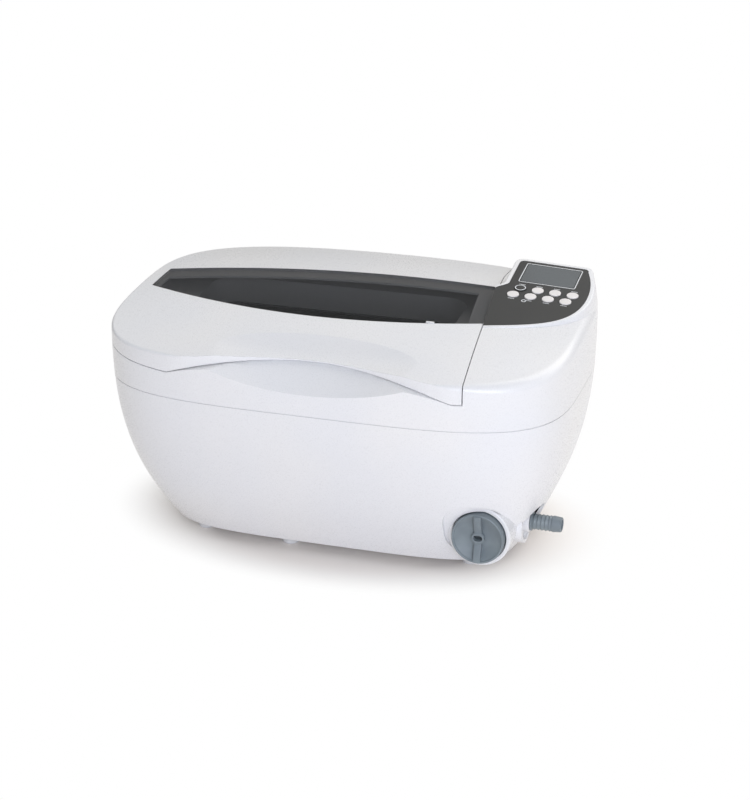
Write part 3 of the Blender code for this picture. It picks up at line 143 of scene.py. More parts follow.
# Control panel on its pod, keys and display.
PANEL_X = 0.1176
PANEL_Y = 0.0450
PANEL_Z = 0.2138
PANEL_TILT = 0.17
PANEL_ROLL = 0.05
PANEL_FRONT = 0.0715
PANEL_R = 0.0732
PANEL_REAR = 0.0470
PANEL_BEND = 0.45
PANEL_DRAW = 0.0085
PANEL_SWEEP = 0.0430
PANEL_RISE = 0.33
PANEL_TURN = 0.0500
PANEL_STEP = 0.0095
PANEL_STEP_RUN = 0.0140
PANEL_STEP_Y = -0.0080
PANEL_CORNER = 0.0050
PANEL_T = 0.0020
PANEL_LEDGE = 0.0040
POD_RIM = 0.0045
POD_FLARE = 0.0040
POD_ROUND = 0.0015
POD_DEEP = 0.030
POD_SLOPE = 0.0220
KEY_D = 0.0102
KEY_PITCH = 0.0151
KEY_PROUD = 0.0008
KEY_EDGE = KEY_PROUD * 0.3
KEY_ROUND = KEY_PROUD * 0.5
KEY_CROWN = ((0.6, 0.96), (0.25, 1.0))
KEY_FLANGE = 0.0008
KEY_FLANGE_T = 0.0010
KEY_ROWS = ((0.0155, -0.0020), (0.0120, -0.0139))
KEYS_IN_ROW = 4
BOARD_DROP = 0.0060
DISPLAY_W = 0.0464
DISPLAY_H = 0.0310
DISPLAY_X = 0.0353
DISPLAY_Y = 0.0268
LAMP_MARK = (0.0233, -0.0223)
LAMP_MARK_D = 0.0042
KEY_RING_R = KEY_D * 0.46
DASH_L = KEY_D * 0.55
DASH_AWAY = 0.70
# Tank and its seal.
TANK_X = -0.035
TANK_Y = 0.008
TANK_L = 0.236
TANK_W = 0.132
TANK_R = 0.022
TANK_FOOT_R = 0.014
TANK_T = 0.0012
TANK_BOTTOM_Z = 0.0650
COLLAR_Z = 0.1630
GASKET_T = 0.0015
FLANGE = 0.0090
# Drain: valve, knob, the recess round it, outlet and barb.
DRAIN_X = 0.0560
DRAIN_Y = -0.0340
VALVE_X = 0.1365
VALVE_Y = -0.0557
VALVE_Z = 0.0440
VALVE_HALF = 0.0180
BORE_D = 0.0090
STEM_D = 0.0080
KNOB_D = 0.0440
KNOB_Y = -0.1040
KNOB_T = 0.0115
KNOB_BACK = VALVE_Y - KNOB_Y - KNOB_T
KNOB_RIM = KNOB_T * 0.16
KNOB_CURL = KNOB_RIM * 0.6
KNOB_DISH = KNOB_T * 0.48
KNOB_DISH_START = 0.90
KNOB_DISH_RUN = 0.56
KNOB_HUB_SINK = KNOB_T * 0.2
KNOB_BAR_W = 0.0066
KNOB_BAR_END = KNOB_RIM * 0.7
KNOB_BAR_FLAT = 0.70
KNOB_BAR_EDGE = ((0.0, 0.0011), (0.0003, 0.0004), (0.0011, 0.0))
KNOB_HUB_D = 0.0112
KNOB_BAR_PROUD = 0.0015
KNOB_SLOT_W = 0.0074
KNOB_SLOT_H = 0.0048
SHROUD_T = 0.0035
SHROUD_FLOOR = 0.0200
SHROUD_RISE = 0.0052
SHROUD_LIP = 0.4
WELL_DRAFT = 1.12
RECESS_W = 0.0510
RECESS_SHIFT = -0.0045
RECESS_H = 0.0530
RECESS_R = 0.0200
RECESS_RISE = 0.0020
RECESS_T = 0.0026
BARB_D = 0.0137
BARB_TIP_X = 0.1970
BARB_FLANGE_D = 0.0160
BARB_FLANGE_T = 0.0015
BARB_RIBS = 5
BARB_RIB_START = 0.35
BARB_RIB = (0.10, 0.30, 0.62)
BARB_RIB_LOW = 0.0001
BARB_NECK = 0.91
BARB_EDGE = 0.0004
BARB_TIP_LIP = (0.0008, 0.0022)
BARB_TIP_L = 0.0085
SPIGOT_D = 0.0130
OUTLET_D = 0.0320
OUTLET_DRAFT = 1.06
OUTLET_COLLAR_L = 0.0065
OUTLET_COLLAR_D = 0.0185
OUTLET_FLOOR_X = 0.1640
# Inlet and vents at the rear.
INLET_X = 0.085
INLET_Z = 0.088
INLET_W = 0.048
INLET_H = 0.027
INLET_T = 0.0020
INLET_BODY_W = 0.0285
INLET_BODY_H = 0.0215
VENT_W = 0.0035
VENT_PITCH = 0.0070
REAR_VENT_Z = 0.0700
REAR_VENT_H = 0.0300
REAR_VENT_COUNT = 7
# Feet, screws and other small trim.
CHAMFER = 0.0006
FOOT_R = 0.0080
FOOT_TOE = ((0.80, 0.0), (0.86, 0.0002), (0.92, 0.0009))
SCREW_X = (-0.095, 0.0, 0.095)
SCREW_INSET = 0.0095
SCREW_SEAT = 0.0004
SCREW_CROWN = 0.0011
SCREW_SLOT = (0.0006, 0.01)
INLET_SCREW_X = 0.0195
INLET_SCREW_SIZE = 0.8
DISPLAY_R = 0.0012
FRAME_R = 0.0018
INK_T = 0.00006

# How far cutters reach past the body.
SKY = 0.06

# Share of a noise over which a finish drifts between its two tones.
DRIFT_BAND = (0.35, 0.65)

# Studio: where the lamps stand and how large they are, where the floor fades to white, in half
# sizes of the object, and how bright reflections see the sky at a share of its height.
KEY_PLACE = (0.6, 0.95, 1.6)
KEY_SIZE = 1.6
FILL_PLACE = (1.0, -1.9, 0.7)
FILL_SIZE = 1.2
LAMP_AIM = Vector((0, 0, 0.1))
FLOOR_R = 4.0
FLOOR_T = 0.01
FLOOR_FADE = (0.74, 1.15)
OVERHEAD = {"start": 0.66, "end": 0.86, "low": 1.0, "high": 0.0}
HORIZON = {"start": 0.15, "end": 0.5, "low": 0.2, "high": 1.0}
SKY_TINT = (0.96, 0.98, 1.0, 1.0)
WHITE = (1.0, 1.0, 1.0, 1.0)

# Camera of the photograph: distance, and focal length in pixels of its 750 x 800 frame.
VIEW_AZIMUTH = math.radians(17.32)
VIEW_ELEVATION = math.radians(21.96)
VIEW_DISTANCE = 1.734
VIEW_TARGET = Vector((0.0168, -0.0052, 0.1128))
VIEW_FOCAL = 2000.0
VIEW_WIDTH = 750.0

TO_FRONT = Matrix.Rotation(math.radians(90), 4, "X")
TO_RIGHT = Matrix.Rotation(math.radians(90), 4, "Y")


def linear(code):
    """Linear RGB of an sRGB hex value."""
    parts = [int(code[k : k + 2], 16) / 255 for k in (1, 3, 5)]
    return tuple(c / 12.92 if c <= 0.04045 else ((c + 0.055) / 1.055) ** 2.4 for c in parts)


def colour_setting(name, code, description):
    """A colour property whose default is given as a hex value."""
    return FloatVectorProperty(
        name=name, description=description, default=linear(code), size=3, min=0.0, max=1.0, subtype="COLOR"
    )


class CleanerShape(bpy.types.PropertyGroup):
    """How finely the visible shells are divided, and the sizes of small trim."""

    ring_steps: IntProperty(
        name="Ring steps", description="Points round the housing's outline", default=160, min=40, max=400
    )
    line_width: FloatProperty(
        name="Printed line", description="Width of the printed outlines", default=0.0008, unit="LENGTH"
    )
    print_rise: FloatProperty(
        name="Ink height", description="How far ink stands off the film", default=0.00006, unit="LENGTH"
    )
    screw_d: FloatProperty(
        name="Screw head", description="Diameter of the cover's screw heads", default=0.0062, unit="LENGTH"
    )


class CleanerColours(bpy.types.PropertyGroup):
    """Colours of the finishes."""

    shell: colour_setting("Housing", "#EDECEC", "White mouldings of the housing and the lid")
    shell_shade: colour_setting("Housing drift", "#EAEAEC", "Slightly cooler tone that the white drifts to")
    window: colour_setting("Window", "#0D0E0D", "Smoked pane in the lid")
    film: colour_setting("Panel film", "#2C2C2B", "Face of the control panel")
    film_shade: colour_setting("Panel film drift", "#30302F", "Lighter tone of the panel film")
    lens: colour_setting("Display", "#3E4548", "Unlit display behind its lens")
    lens_shade: colour_setting("Display drift", "#353B3E", "Darker end of the unlit display")
    key: colour_setting("Keys", "#ECE8E6", "Pale key caps")
    ink: colour_setting("Ink", "#E6E8EA", "Printed outlines and marks on the panel")
    fitting: colour_setting("Drain fittings", "#7F898E", "Knob and hose barb")
    fitting_shade: colour_setting("Drain fittings drift", "#767F85", "Darker tone of the drain fittings")
    foot: colour_setting("Feet", "#DEDEDF", "Rubber feet")
    floor: colour_setting("Floor", "#F5EFE9", "Studio floor")


class CleanerStudio(bpy.types.PropertyGroup):
    """Light of the studio."""

    key_power: FloatProperty(
        name="Key light", description="Power of the large key light", default=16.0, unit="POWER"
    )
    fill_power: FloatProperty(
        name="Fill light", description="Power of the front fill", default=24.0, unit="POWER"
    )
    sky: FloatProperty(name="Sky", description="Strength of the even surrounding light", default=0.48)


def node(tree, kind, values=(), **settings):
    """Add a shader node: settings are its own, values pair a socket with a number or an output."""
    made = tree.nodes.new(kind)
    for name, value in settings.items():
        setattr(made, name, value)
    for socket, value in values:
        if isinstance(value, bpy.types.NodeSocket):
            tree.links.new(value, made.inputs[socket])
        else:
            made.inputs[socket].default_value = value
    return made


def new_finish(name, **values):
    """A material, its tree, its shader with even values on its own sockets, and the object's coordinates."""
    made = bpy.data.materials.new(name)
    made.use_nodes = True
    tree = made.node_tree
    shader = tree.nodes["Principled BSDF"]
    for socket, value in values.items():
        shader.inputs[socket.replace("_", " ")].default_value = value
    return made, tree, shader, node(tree, "ShaderNodeTexCoord").outputs["Object"]


def per_metre(size_mm):
    """Texture scale for a feature of a real size in millimetres."""
    return 1000.0 / size_mm


def noise(tree, place, size_mm, detail):
    values = [("Vector", place), ("Scale", per_metre(size_mm)), ("Detail", detail)]
    return node(tree, "ShaderNodeTexNoise", values).outputs["Fac"]


def bricks(tree, place, size_mm, gap, tones, width, height, **settings):
    """A grid in two tones, with gaps in a third."""
    values = [("Vector", place), ("Scale", per_metre(size_mm)), ("Mortar Size", gap)]
    values += [(socket, (*tone, 1.0)) for socket, tone in zip(("Color1", "Color2", "Mortar"), tones)]
    values += [("Brick Width", width), ("Row Height", height)]
    return node(tree, "ShaderNodeTexBrick", values, **settings).outputs["Color"]


def ranged(tree, factor, low, high):
    """A factor from 0 to 1, spread over a range."""
    values = [("Value", factor), ("To Min", low), ("To Max", high)]
    return node(tree, "ShaderNodeMapRange", values).outputs["Result"]


def smooth_range(tree, factor, start, end, low=0.0, high=1.0):
    """A smooth change from low to high as the factor goes from start to end."""
    values = [("Value", factor), ("From Min", start), ("From Max", end), ("To Min", low), ("To Max", high)]
    return node(tree, "ShaderNodeMapRange", values, interpolation_type="SMOOTHSTEP").outputs["Result"]


def maths(tree, operation, first, second):
    return node(tree, "ShaderNodeMath", [(0, first), (1, second)], operation=operation).outputs[0]


def mixed_colour(tree, factor, first, second, blend="MIX"):
    values = [(0, factor), (6, first), (7, second)]
    return node(tree, "ShaderNodeMix", values, data_type="RGBA", blend_type=blend).outputs[2]


def mixed_shader(tree, factor, first, second):
    return node(tree, "ShaderNodeMixShader", [(0, factor), (1, first.outputs[0]), (2, second.outputs[0])])


def two_tones(tree, factor, first, second):
    """Colour that drifts from one tone to another as the factor rises."""
    ramp = node(tree, "ShaderNodeValToRGB", [("Fac", factor)])
    for element, position, tone in zip(ramp.color_ramp.elements, DRIFT_BAND, (first, second)):
        element.position = position
        element.color = (*tone, 1.0)
    return ramp.outputs["Color"]


def relief(tree, height, strength, distance, edge=None):
    """A normal with fine relief, and with softly broken edges where their radius is given."""
    values = [("Strength", strength), ("Distance", distance), ("Height", height)]
    if edge is not None:
        soft = node(tree, "ShaderNodeBevel", [("Radius", edge)], samples=4)
        values.append(("Normal", soft.outputs["Normal"]))
    return node(tree, "ShaderNodeBump", values).outputs["Normal"]


def wire(tree, shader, colour, roughness, normal):
    """Link what varies over a surface to its shader."""
    for socket, output in (("Base Color", colour), ("Roughness", roughness), ("Normal", normal)):
        tree.links.new(output, shader.inputs[socket])


def satin_abs(name, tone, shade, roughness):
    """Injection-moulded ABS from a spark-eroded tool: an even satin white with softly broken edges."""
    made, tree, shader, place = new_finish(name, IOR=1.53, Specular_IOR_Level=0.5)
    # The tone drifts over about 90 mm, as the melt cools unevenly.
    drift = noise(tree, place, 90, 1.0)
    # Tool grain is about 0.2 mm; it is drawn at 0.9 mm so that it shows.
    grain = noise(tree, place, 0.9, 2.0)
    gloss = ranged(tree, grain, roughness - 0.04, roughness + 0.04)
    bump = relief(tree, grain, 0.03, 0.00008, 0.0005)
    wire(tree, shader, two_tones(tree, drift, tone, shade), gloss, bump)
    return made


def smoked_acrylic(name, tone, shade):
    """Cast smoked acrylic sheet, 2 mm: dark, glossy and partly see-through, with faint waves."""
    made, tree, shader, place = new_finish(name, IOR=1.49, Alpha=0.43, Specular_IOR_Level=0.06)
    # Casting waves are about 40 mm long; wiping leaves hazy patches of about 25 mm.
    wave = noise(tree, place, 40, 0.0)
    haze = noise(tree, place, 25, 3.0)
    gloss = ranged(tree, haze, 0.05, 0.13)
    wire(tree, shader, two_tones(tree, haze, tone, shade), gloss, relief(tree, wave, 0.05, 0.0004))
    return made


def velvet_film(name, tone, shade):
    """Screen-printed polyester film with a velvet face: matt, with a very fine tooth."""
    made, tree, shader, place = new_finish(name, IOR=1.58, Specular_IOR_Level=0.25)
    # The tooth is about 0.05 mm; it is drawn at 0.5 mm so that it shows.
    tooth = noise(tree, place, 0.5, 2.0)
    cloud = noise(tree, place, 30, 2.0)
    gloss = ranged(tree, cloud, 0.42, 0.56)
    wire(tree, shader, two_tones(tree, cloud, tone, shade), gloss, relief(tree, tooth, 0.12, 0.00005))
    return made


def display_glass(name, tone, shade):
    """Unlit reflective liquid-crystal glass: blue-grey, smooth, with a fine pixel grid."""
    made, tree, shader, place = new_finish(
        name, IOR=1.52, Roughness=0.16, Coat_Weight=0.35, Coat_Roughness=0.06
    )
    sweep = noise(tree, place, 40, 0.0)
    # Pixels are 0.6 mm with thin gaps between them.
    greys = [(grey, grey, grey) for grey in (1.0, 0.97, 0.88)]
    grid = bricks(tree, place, 1.2, 0.05, greys, 0.5, 0.5, offset=0.0)
    colour = mixed_colour(tree, 1.0, two_tones(tree, sweep, tone, shade), grid, "MULTIPLY")
    tree.links.new(colour, shader.inputs["Base Color"])
    return made


def moulded_grain(name, tone, shade, roughness, grain_mm, depth=0.0001, edge=0.0004):
    """Moulded nylon, rubber or plain plastic: matt, with a pebble grain and softened edges."""
    made, tree, shader, place = new_finish(name, IOR=1.50)
    pebble = noise(tree, place, grain_mm, 3.0)
    drift = noise(tree, place, 14, 2.0)
    gloss = ranged(tree, drift, roughness - 0.06, roughness + 0.06)
    bump = relief(tree, pebble, 0.18, depth, edge)
    wire(tree, shader, two_tones(tree, drift, tone, shade), gloss, bump)
    return made


def brushed_metal(name, tone, shade, roughness, along=(1.0, 40.0, 40.0)):
    """Metal with a directional finish, such as brushed stainless steel: fine streaks one way."""
    made, tree, shader, place = new_finish(name, Metallic=1.0)
    # Brush lines are about 0.1 mm apart; they are drawn at 0.6 mm so that they show.
    stretch = node(tree, "ShaderNodeMapping", [("Vector", place), ("Scale", along)])
    lines = noise(tree, stretch.outputs["Vector"], 24, 4.0)
    gloss = ranged(tree, lines, roughness - 0.08, roughness + 0.10)
    wire(tree, shader, two_tones(tree, lines, tone, shade), gloss, relief(tree, lines, 0.08, 0.00005))
    return made


def solder_mask(name, mask, track):
    """Glass-fibre circuit board: green solder mask over copper tracks, with tinned pads."""
    made, tree, shader, place = new_finish(name, IOR=1.55, Roughness=0.38)
    # Tracks run on a 2.54 mm grid; pads are about 1.2 mm across.
    tracks = bricks(tree, place, 2.54, 0.12, (mask, linear("#0B4024"), track), 3.0, 1.0)
    spread = [("Vector", place), ("Scale", per_metre(5.08)), ("Randomness", 0.2)]
    pads = node(tree, "ShaderNodeTexVoronoi", spread).outputs["Distance"]
    edge = node(tree, "ShaderNodeMapRange", [("Value", pads), ("From Min", 0.10), ("From Max", 0.13)])
    colour = mixed_colour(tree, edge.outputs["Result"], (*linear("#B9B7A8"), 1.0), tracks)
    tree.links.new(colour, shader.inputs["Base Color"])
    return made


# Each finish: its maker, the material's name, its tone and shade, and what else the maker takes.
# A tone is a setting's name or a hex value, and a shade may be a share of the tone instead.
FINISHES = {
    "white_abs": (satin_abs, "white_satin_abs", "shell", "shell_shade", 0.28),
    "window": (smoked_acrylic, "smoked_acrylic", "window", 1.25),
    "film": (velvet_film, "velvet_panel_film", "film", "film_shade"),
    "display": (display_glass, "display_glass", "lens", "lens_shade"),
    "key": (moulded_grain, "pale_key_plastic", "key", 0.96, 0.42, 0.6, 0.00004, 0.0003),
    "ink": (velvet_film, "white_screen_ink", "ink", 0.95),
    "fitting": (moulded_grain, "grey_nylon", "fitting", "fitting_shade", 0.46, 0.9),
    "foot": (moulded_grain, "pale_rubber", "foot", 0.92, 0.72, 1.0),
    "seal": (moulded_grain, "grey_silicone", "#8E9092", "#848689", 0.62, 1.2),
    "heater": (moulded_grain, "orange_silicone_mat", "#A4502C", "#964626", 0.66, 1.6),
    "black": (moulded_grain, "black_moulding", "#232324", "#1D1D1E", 0.48, 0.8),
    "ceramic": (moulded_grain, "fired_ceramic", "#9C937C", "#8D8570", 0.50, 0.7),
    "steel": (brushed_metal, "brushed_stainless", "#C6C7C8", "#B4B6B8", 0.30),
    "bright_steel": (brushed_metal, "drawn_steel_rod", "#CACBCC", "#BEBFC1", 0.22, (40.0, 1.0, 40.0)),
    "aluminium": (brushed_metal, "turned_aluminium", "#D2D3D4", "#C4C6C8", 0.34, (40.0, 40.0, 2.0)),
    "board": (solder_mask, "green_circuit_board", "#0E4A2A", "#1C6B3C"),
}
READY = {}


def tone_of(value, base=()):
    """Linear colour of a setting's name or a hex value, or of a share of a base tone."""
    if isinstance(value, float):
        return tuple(c * value for c in base)
    if value.startswith("#"):
        return linear(value)
    return tuple(getattr(bpy.context.scene.cleaner_colours, value))


def finish(name):
    """The named material, made the first time that it is asked for."""
    if name not in READY:
        maker, label, tone, shade, *rest = FINISHES[name]
        base = tone_of(tone)
        READY[name] = maker(label, base, tone_of(shade, base), *rest)
    return READY[name]


def loft(rings, cyclic=False):
    """Vertices and faces through rings of equal count, capped, or joined end to end where cyclic."""
    count = len(rings[0])
    verts = [point for ring in rings for point in ring]
    spans = len(rings) if cyclic else len(rings) - 1
    faces = []
    for i in range(spans):
        low = i * count
        high = (i + 1) % len(rings) * count
        for k in range(count):
            after = (k + 1) % count
            faces.append((low + k, low + after, high + after, high + k))
    if not cyclic:
        faces.append(tuple(range(count)))
        faces.append(tuple(range(len(verts) - count, len(verts))))
    return verts, faces


def prism(outline, low, high):
    """An upright solid on a plan outline."""
    return loft([[(x, y, low) for x, y in outline], [(x, y, high) for x, y in outline]])


def circle(radius, steps, x=0.0, y=0.0):
    turns = [2 * math.pi * k / steps for k in range(steps)]
    return [(x + radius * math.cos(t), y + radius * math.sin(t)) for t in turns]


def turned(profile, steps=64, cyclic=False):
    """A revolve about Z of (radius, height) points."""
    return loft([[(x, y, z) for x, y in circle(r, steps)] for r, z in profile], cyclic)


def arc(x, y, radius, start, end, steps):
    turns = [math.radians(start + (end - start) * k / steps) for k in range(steps + 1)]
    return [(x + radius * math.cos(t), y + radius * math.sin(t)) for t in turns]


def rounded_box(width, depth, radius, x=0.0, y=0.0, steps=10):
    points = []
    for turn, (i, j) in enumerate([(1, 1), (-1, 1), (-1, -1), (1, -1)]):
        cx = x + i * (width / 2 - radius)
        cy = y + j * (depth / 2 - radius)
        points += arc(cx, cy, radius, 90 * turn, 90 * turn + 90, steps)
    return points


def joined(shapes):
    verts = []
    faces = []
    for points, sides in shapes:
        start = len(verts)
        verts += points
        faces += [tuple(i + start for i in side) for side in sides]
    return verts, faces


def build(name, verts, faces, place=None):
    """A closed mesh object, its points moved by the place."""
    mesh = bpy.data.meshes.new(name)
    mesh.from_pydata([Vector(v) for v in verts], [], faces)
    if place is not None:
        mesh.transform(place)
    work = bmesh.new()
    work.from_mesh(mesh)
    bmesh.ops.recalc_face_normals(work, faces=work.faces)
    work.to_mesh(mesh)
    work.free()
    made = bpy.data.objects.new(name, mesh)
    bpy.context.scene.collection.objects.link(made)
    return made


def combine(target, operation, *tools):
    """Join, cut or trim a solid with others, which are used up."""
    for tool in tools:
        step = target.modifiers.new(tool.name, "BOOLEAN")
        step.operation = operation
        step.solver = "MANIFOLD"
        step.object = tool
    bpy.context.view_layer.update()
    mesh = bpy.data.meshes.new_from_object(target.evaluated_get(bpy.context.evaluated_depsgraph_get()))
    target.modifiers.clear()
    target.data = mesh
    for tool in tools:
        bpy.data.objects.remove(tool, do_unlink=True)
    return target


def dress(piece, look, body, slot=None, stands_for=(), crease=32.0, shift=None):
    """Give a piece its finish, smooth shading and the body it rides on."""
    if shift is not None:
        piece.data.transform(shift)
    piece.data.materials.clear()
    piece.data.materials.append(finish(look))
    piece.data.shade_smooth()
    piece.data.set_sharp_from_angle(angle=math.radians(crease))
    even = piece.modifiers.new("even_normals", "WEIGHTED_NORMAL")
    even.keep_sharp = True
    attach(piece, body)
    if stands_for:
        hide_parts(*stands_for)
    return piece


def dress_node(name, look, crease=32.0):
    """Give a CAD node that stays a finish and smooth shading."""
    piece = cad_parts[name]
    piece.data.materials.clear()
    piece.data.materials.append(finish(look))
    piece.data.shade_smooth()
    piece.data.set_sharp_from_angle(angle=math.radians(crease))


def smooth_step(value):
    share = min(max(value, 0.0), 1.0)
    return share * share * (3 - 2 * share)


def top_z(x, y):
    along = x / HALF_L
    across = y / HALF_D
    return CROWN_Z + REAR_RISE * across - DROP_Y * across**2 - DROP_X * along**2


def outline_point(turn, half_l, half_d, power):
    c = math.cos(turn)
    s = math.sin(turn)
    x = half_l * math.copysign(abs(c) ** (2 / power), c)
    y = half_d * math.copysign(abs(s) ** (2 / power), s)
    return x, y


def wall_point(turn, z, inset=0.0):
    """Point of the bowl-shaped outer wall at a height, moved in by inset."""
    share = min(max((z - FLOOR_Z) / (SHOULDER_Z - FLOOR_Z), 0.0), 1.0)
    half_l = HALF_L - TAPER_X * (1 - share) ** BOWL_X - inset
    half_d = HALF_D - TAPER_Y * (1 - share) ** BOWL_Y - inset
    power = ROUND_BASE + (ROUND_TOP - ROUND_BASE) * share
    return outline_point(turn, half_l, half_d, power)


def even_turns(count):
    """Turns that space points evenly along one quarter of the outline, repeated round it."""
    quarter = count // 4
    dense = 4000
    fine = [math.pi / 2 * (k / dense) ** 2 for k in range(dense // 2)]
    eased = [((dense - k) / dense) ** 2 for k in range(dense // 2, dense + 1)]
    fine += [math.pi / 2 * (1 - share * 2 + share) for share in eased]
    fine = sorted(set(fine))
    points = [wall_point(t, SHOULDER_Z) for t in fine]
    lengths = [0.0]
    for a, b in zip(points, points[1:]):
        lengths.append(lengths[-1] + math.dist(a, b))
    first = []
    at = 0
    for k in range(quarter):
        goal = lengths[-1] * k / quarter
        while lengths[at + 1] < goal:
            at += 1
        share = (goal - lengths[at]) / max(lengths[at + 1] - lengths[at], 1e-12)
        first.append(fine[at] + (fine[at + 1] - fine[at]) * share)
    mirrored = [math.pi - t for t in reversed(first[1:])]
    half = first + [math.pi / 2] + mirrored
    return half + [t + math.pi for t in half]


def column(name, outline):
    """A cutter that stands through the whole upper body."""
    return build(name, *prism(outline, PART_Z, CROWN_Z + SKY))


def wall_ring(turns, z, inset=0.0, height=None):
    ring = [wall_point(turn, z, inset) for turn in turns]
    return [(x, y, z if height is None else height) for x, y in ring]


def wall_y(x, z, side):
    """y of the outer wall at x and z, at the front (-1) or the rear (1)."""
    low, high = (0.0, math.pi / 2)
    for _ in range(40):
        middle = (low + high) / 2
        if wall_point(middle, z)[0] > abs(x):
            low = middle
        else:
            high = middle
    return side * wall_point(low, z)[1]


ORIGIN_Y = (HINGE_Y + HINGE_R + wall_y(0, DISH_Z, -1)) / 2
TO_WORLD = Matrix.Translation((0, -ORIGIN_Y, 0))


def top_solid(turns, inset, lower, bottom):
    """The upper body as one solid: wall, rounded edge and dome, drawn in and lowered."""
    wall_rows, bend_rows, dome_rows = 10, 8, 16
    rings = [[] for _ in range(wall_rows + 1 + bend_rows + dome_rows)]
    for turn in turns:
        reach = smooth_step((wall_point(turn, SHOULDER_Z)[0] - END_ROUND_START) / END_ROUND_RUN)
        edge = EDGE_ROUND + (END_ROUND - EDGE_ROUND) * reach
        rim_x, rim_y = wall_point(turn, SHOULDER_Z, inset + edge)
        rim_z = top_z(rim_x, rim_y) - lower
        shoulder = rim_z - edge
        for k in range(wall_rows + 1):
            z = bottom + (shoulder - bottom) * k / wall_rows
            rings[k].append((*wall_point(turn, z, inset), z))
        for k in range(1, bend_rows + 1):
            bend = math.pi / 2 * k / bend_rows
            x, y = wall_point(turn, SHOULDER_Z, inset + edge * (1 - math.cos(bend)))
            rings[wall_rows + k].append((x, y, shoulder + edge * math.sin(bend)))
        for k in range(1, dome_rows + 1):
            share = 1 - DOME_REACH * k / dome_rows
            x = rim_x * share
            y = rim_y * share
            rings[wall_rows + bend_rows + k].append((x, y, top_z(x, y) - lower))
    return loft(rings)


def lid_edge(y):
    return LID_EDGE_X - LID_EDGE_SLANT * min(y, LID_STRAIGHT_Y)


def seat_z(x, y):
    """Height where the lid meets the housing, with the arch over the finger recess."""
    across = y / HALF_D
    plain = SEAT_MID + (SEAT_REAR - SEAT_FRONT) / 2 * across
    plain += ((SEAT_REAR + SEAT_FRONT) / 2 - SEAT_MID) * across**2
    arch = max(0.0, 1 - ((x - LIP_X) / ARCH_HALF) ** 4)
    front = smooth_step((LIP_Y + ARCH_RUN - y) / LIP_BAY)
    return plain + ARCH_RISE * arch * front


def lid_zone(name, lift, grow):
    """The space that belongs to the lid, lifted off its seat and grown past its right-hand edge."""
    left = -HALF_L - SKY
    arch_steps = [LIP_X + ARCH_HALF * k / 32 for k in range(-32, 33)]
    front_edge = lid_edge(-HALF_D)
    columns = [left, -HALF_L, *arch_steps, front_edge]
    shares = [(x - left) / (front_edge - left) for x in columns]
    front_rows = [LIP_Y + ARCH_RUN * k / 16 for k in range(17)]
    rear_rows = [LID_STRAIGHT_Y * k / 8 for k in range(9)] + [HALF_D]
    rows = [-HALF_D - SKY, -HALF_D, -HALF_D + LIP_BAY / 2, *front_rows, *rear_rows, HALF_D + SKY]
    rings = []
    lid_top = CROWN_Z + SKY
    for y in rows:
        bed = []
        for share in shares:
            x = left + share * (lid_edge(y) - left)
            side = grow if share == shares[-1] else 0.0
            bed.append((x + side, y, seat_z(x, max(min(y, HALF_D), -HALF_D)) + lift))
        rings.append([*bed, (lid_edge(y) + grow, y, lid_top), (left, y, lid_top)])
    return build(name, *loft(rings))


def slanted_trough(name, radius, y, z, angle, shift=0.0):
    """A round-bottomed cutter whose lowest line passes y, z and climbs to the rear at the angle."""
    place = Matrix.Translation((LIP_X, y, z)) @ Matrix.Rotation(angle - math.pi / 2, 4, "X")
    spread = math.degrees(math.asin(SCOOP_HALF / radius))
    outline = arc(0.0, -radius, radius + shift, 90 - spread, 90 + spread, 96)
    outline += [(outline[-1][0], -SKY * 2), (outline[0][0], -SKY * 2)]
    stations = [-SKY * 2 + SKY * 6 * k / 60 for k in range(61)]
    return build(name, *loft([[(x, y, z) for x, y in outline] for z in stations]), place)


def lip_scoop(name, lower=0.0):
    """A cutter hollowed both ways, which leaves a crescent on the lid above its lip."""
    columns = [LIP_X + SCOOP_HALF * (k / 40 - 1) for k in range(81)]
    rows = [LIP_Y - SKY, LIP_Y, *[LIP_Y + LIP_BAY * k / 20 for k in range(1, 41)]]
    top = CROWN_Z + SKY
    rings = []
    for y in rows:
        run = max(0.0, y - LIP_Y)
        deep = SCOOP_Z - lower + SCOOP_SLOPE * (y - LIP_Y) + SCOOP_CLIMB * (run / SCOOP_REACH) ** 2
        floor = [(x, y, deep + (x - LIP_X) ** 2 / (2 * SCOOP_R)) for x in columns]
        rings.append([*floor, (columns[-1], y, top), (columns[0], y, top)])
    return build(name, *loft(rings))


def window_front(x):
    share = (x - WINDOW_LEFT) / (lid_edge(WINDOW_FRONT_R) - WINDOW_LEFT)
    line = WINDOW_FRONT_L + (WINDOW_FRONT_R - WINDOW_FRONT_L) * share
    sag = (WINDOW_FRONT_M - (WINDOW_FRONT_L + WINDOW_FRONT_R) / 2) * 4 * share * (1 - share)
    return line + sag


def window_rear(x):
    share = (x - WINDOW_LEFT) / (lid_edge(WINDOW_REAR_R) - WINDOW_LEFT)
    line = WINDOW_REAR_L + (WINDOW_REAR_R - WINDOW_REAR_L) * share
    return line + WINDOW_BOW * 4 * share * (1 - share)


def window_outline(grow, rear=0.0, right=0.0):
    """Plan outline of the lid window; grow enlarges it, rear and right draw those sides in."""
    span = 64
    left = WINDOW_LEFT - grow
    front_end = lid_edge(WINDOW_FRONT_R) + grow - right
    rear_end = lid_edge(WINDOW_REAR_R) + grow - right
    points = []
    for k in range(span + 1):
        x = left + (front_end - left) * k / span
        points.append((x, window_front(x) - grow))
    for k in range(span, -1, -1):
        x = left + (rear_end - left) * k / span
        points.append((x, window_rear(x) + grow - rear))
    return points


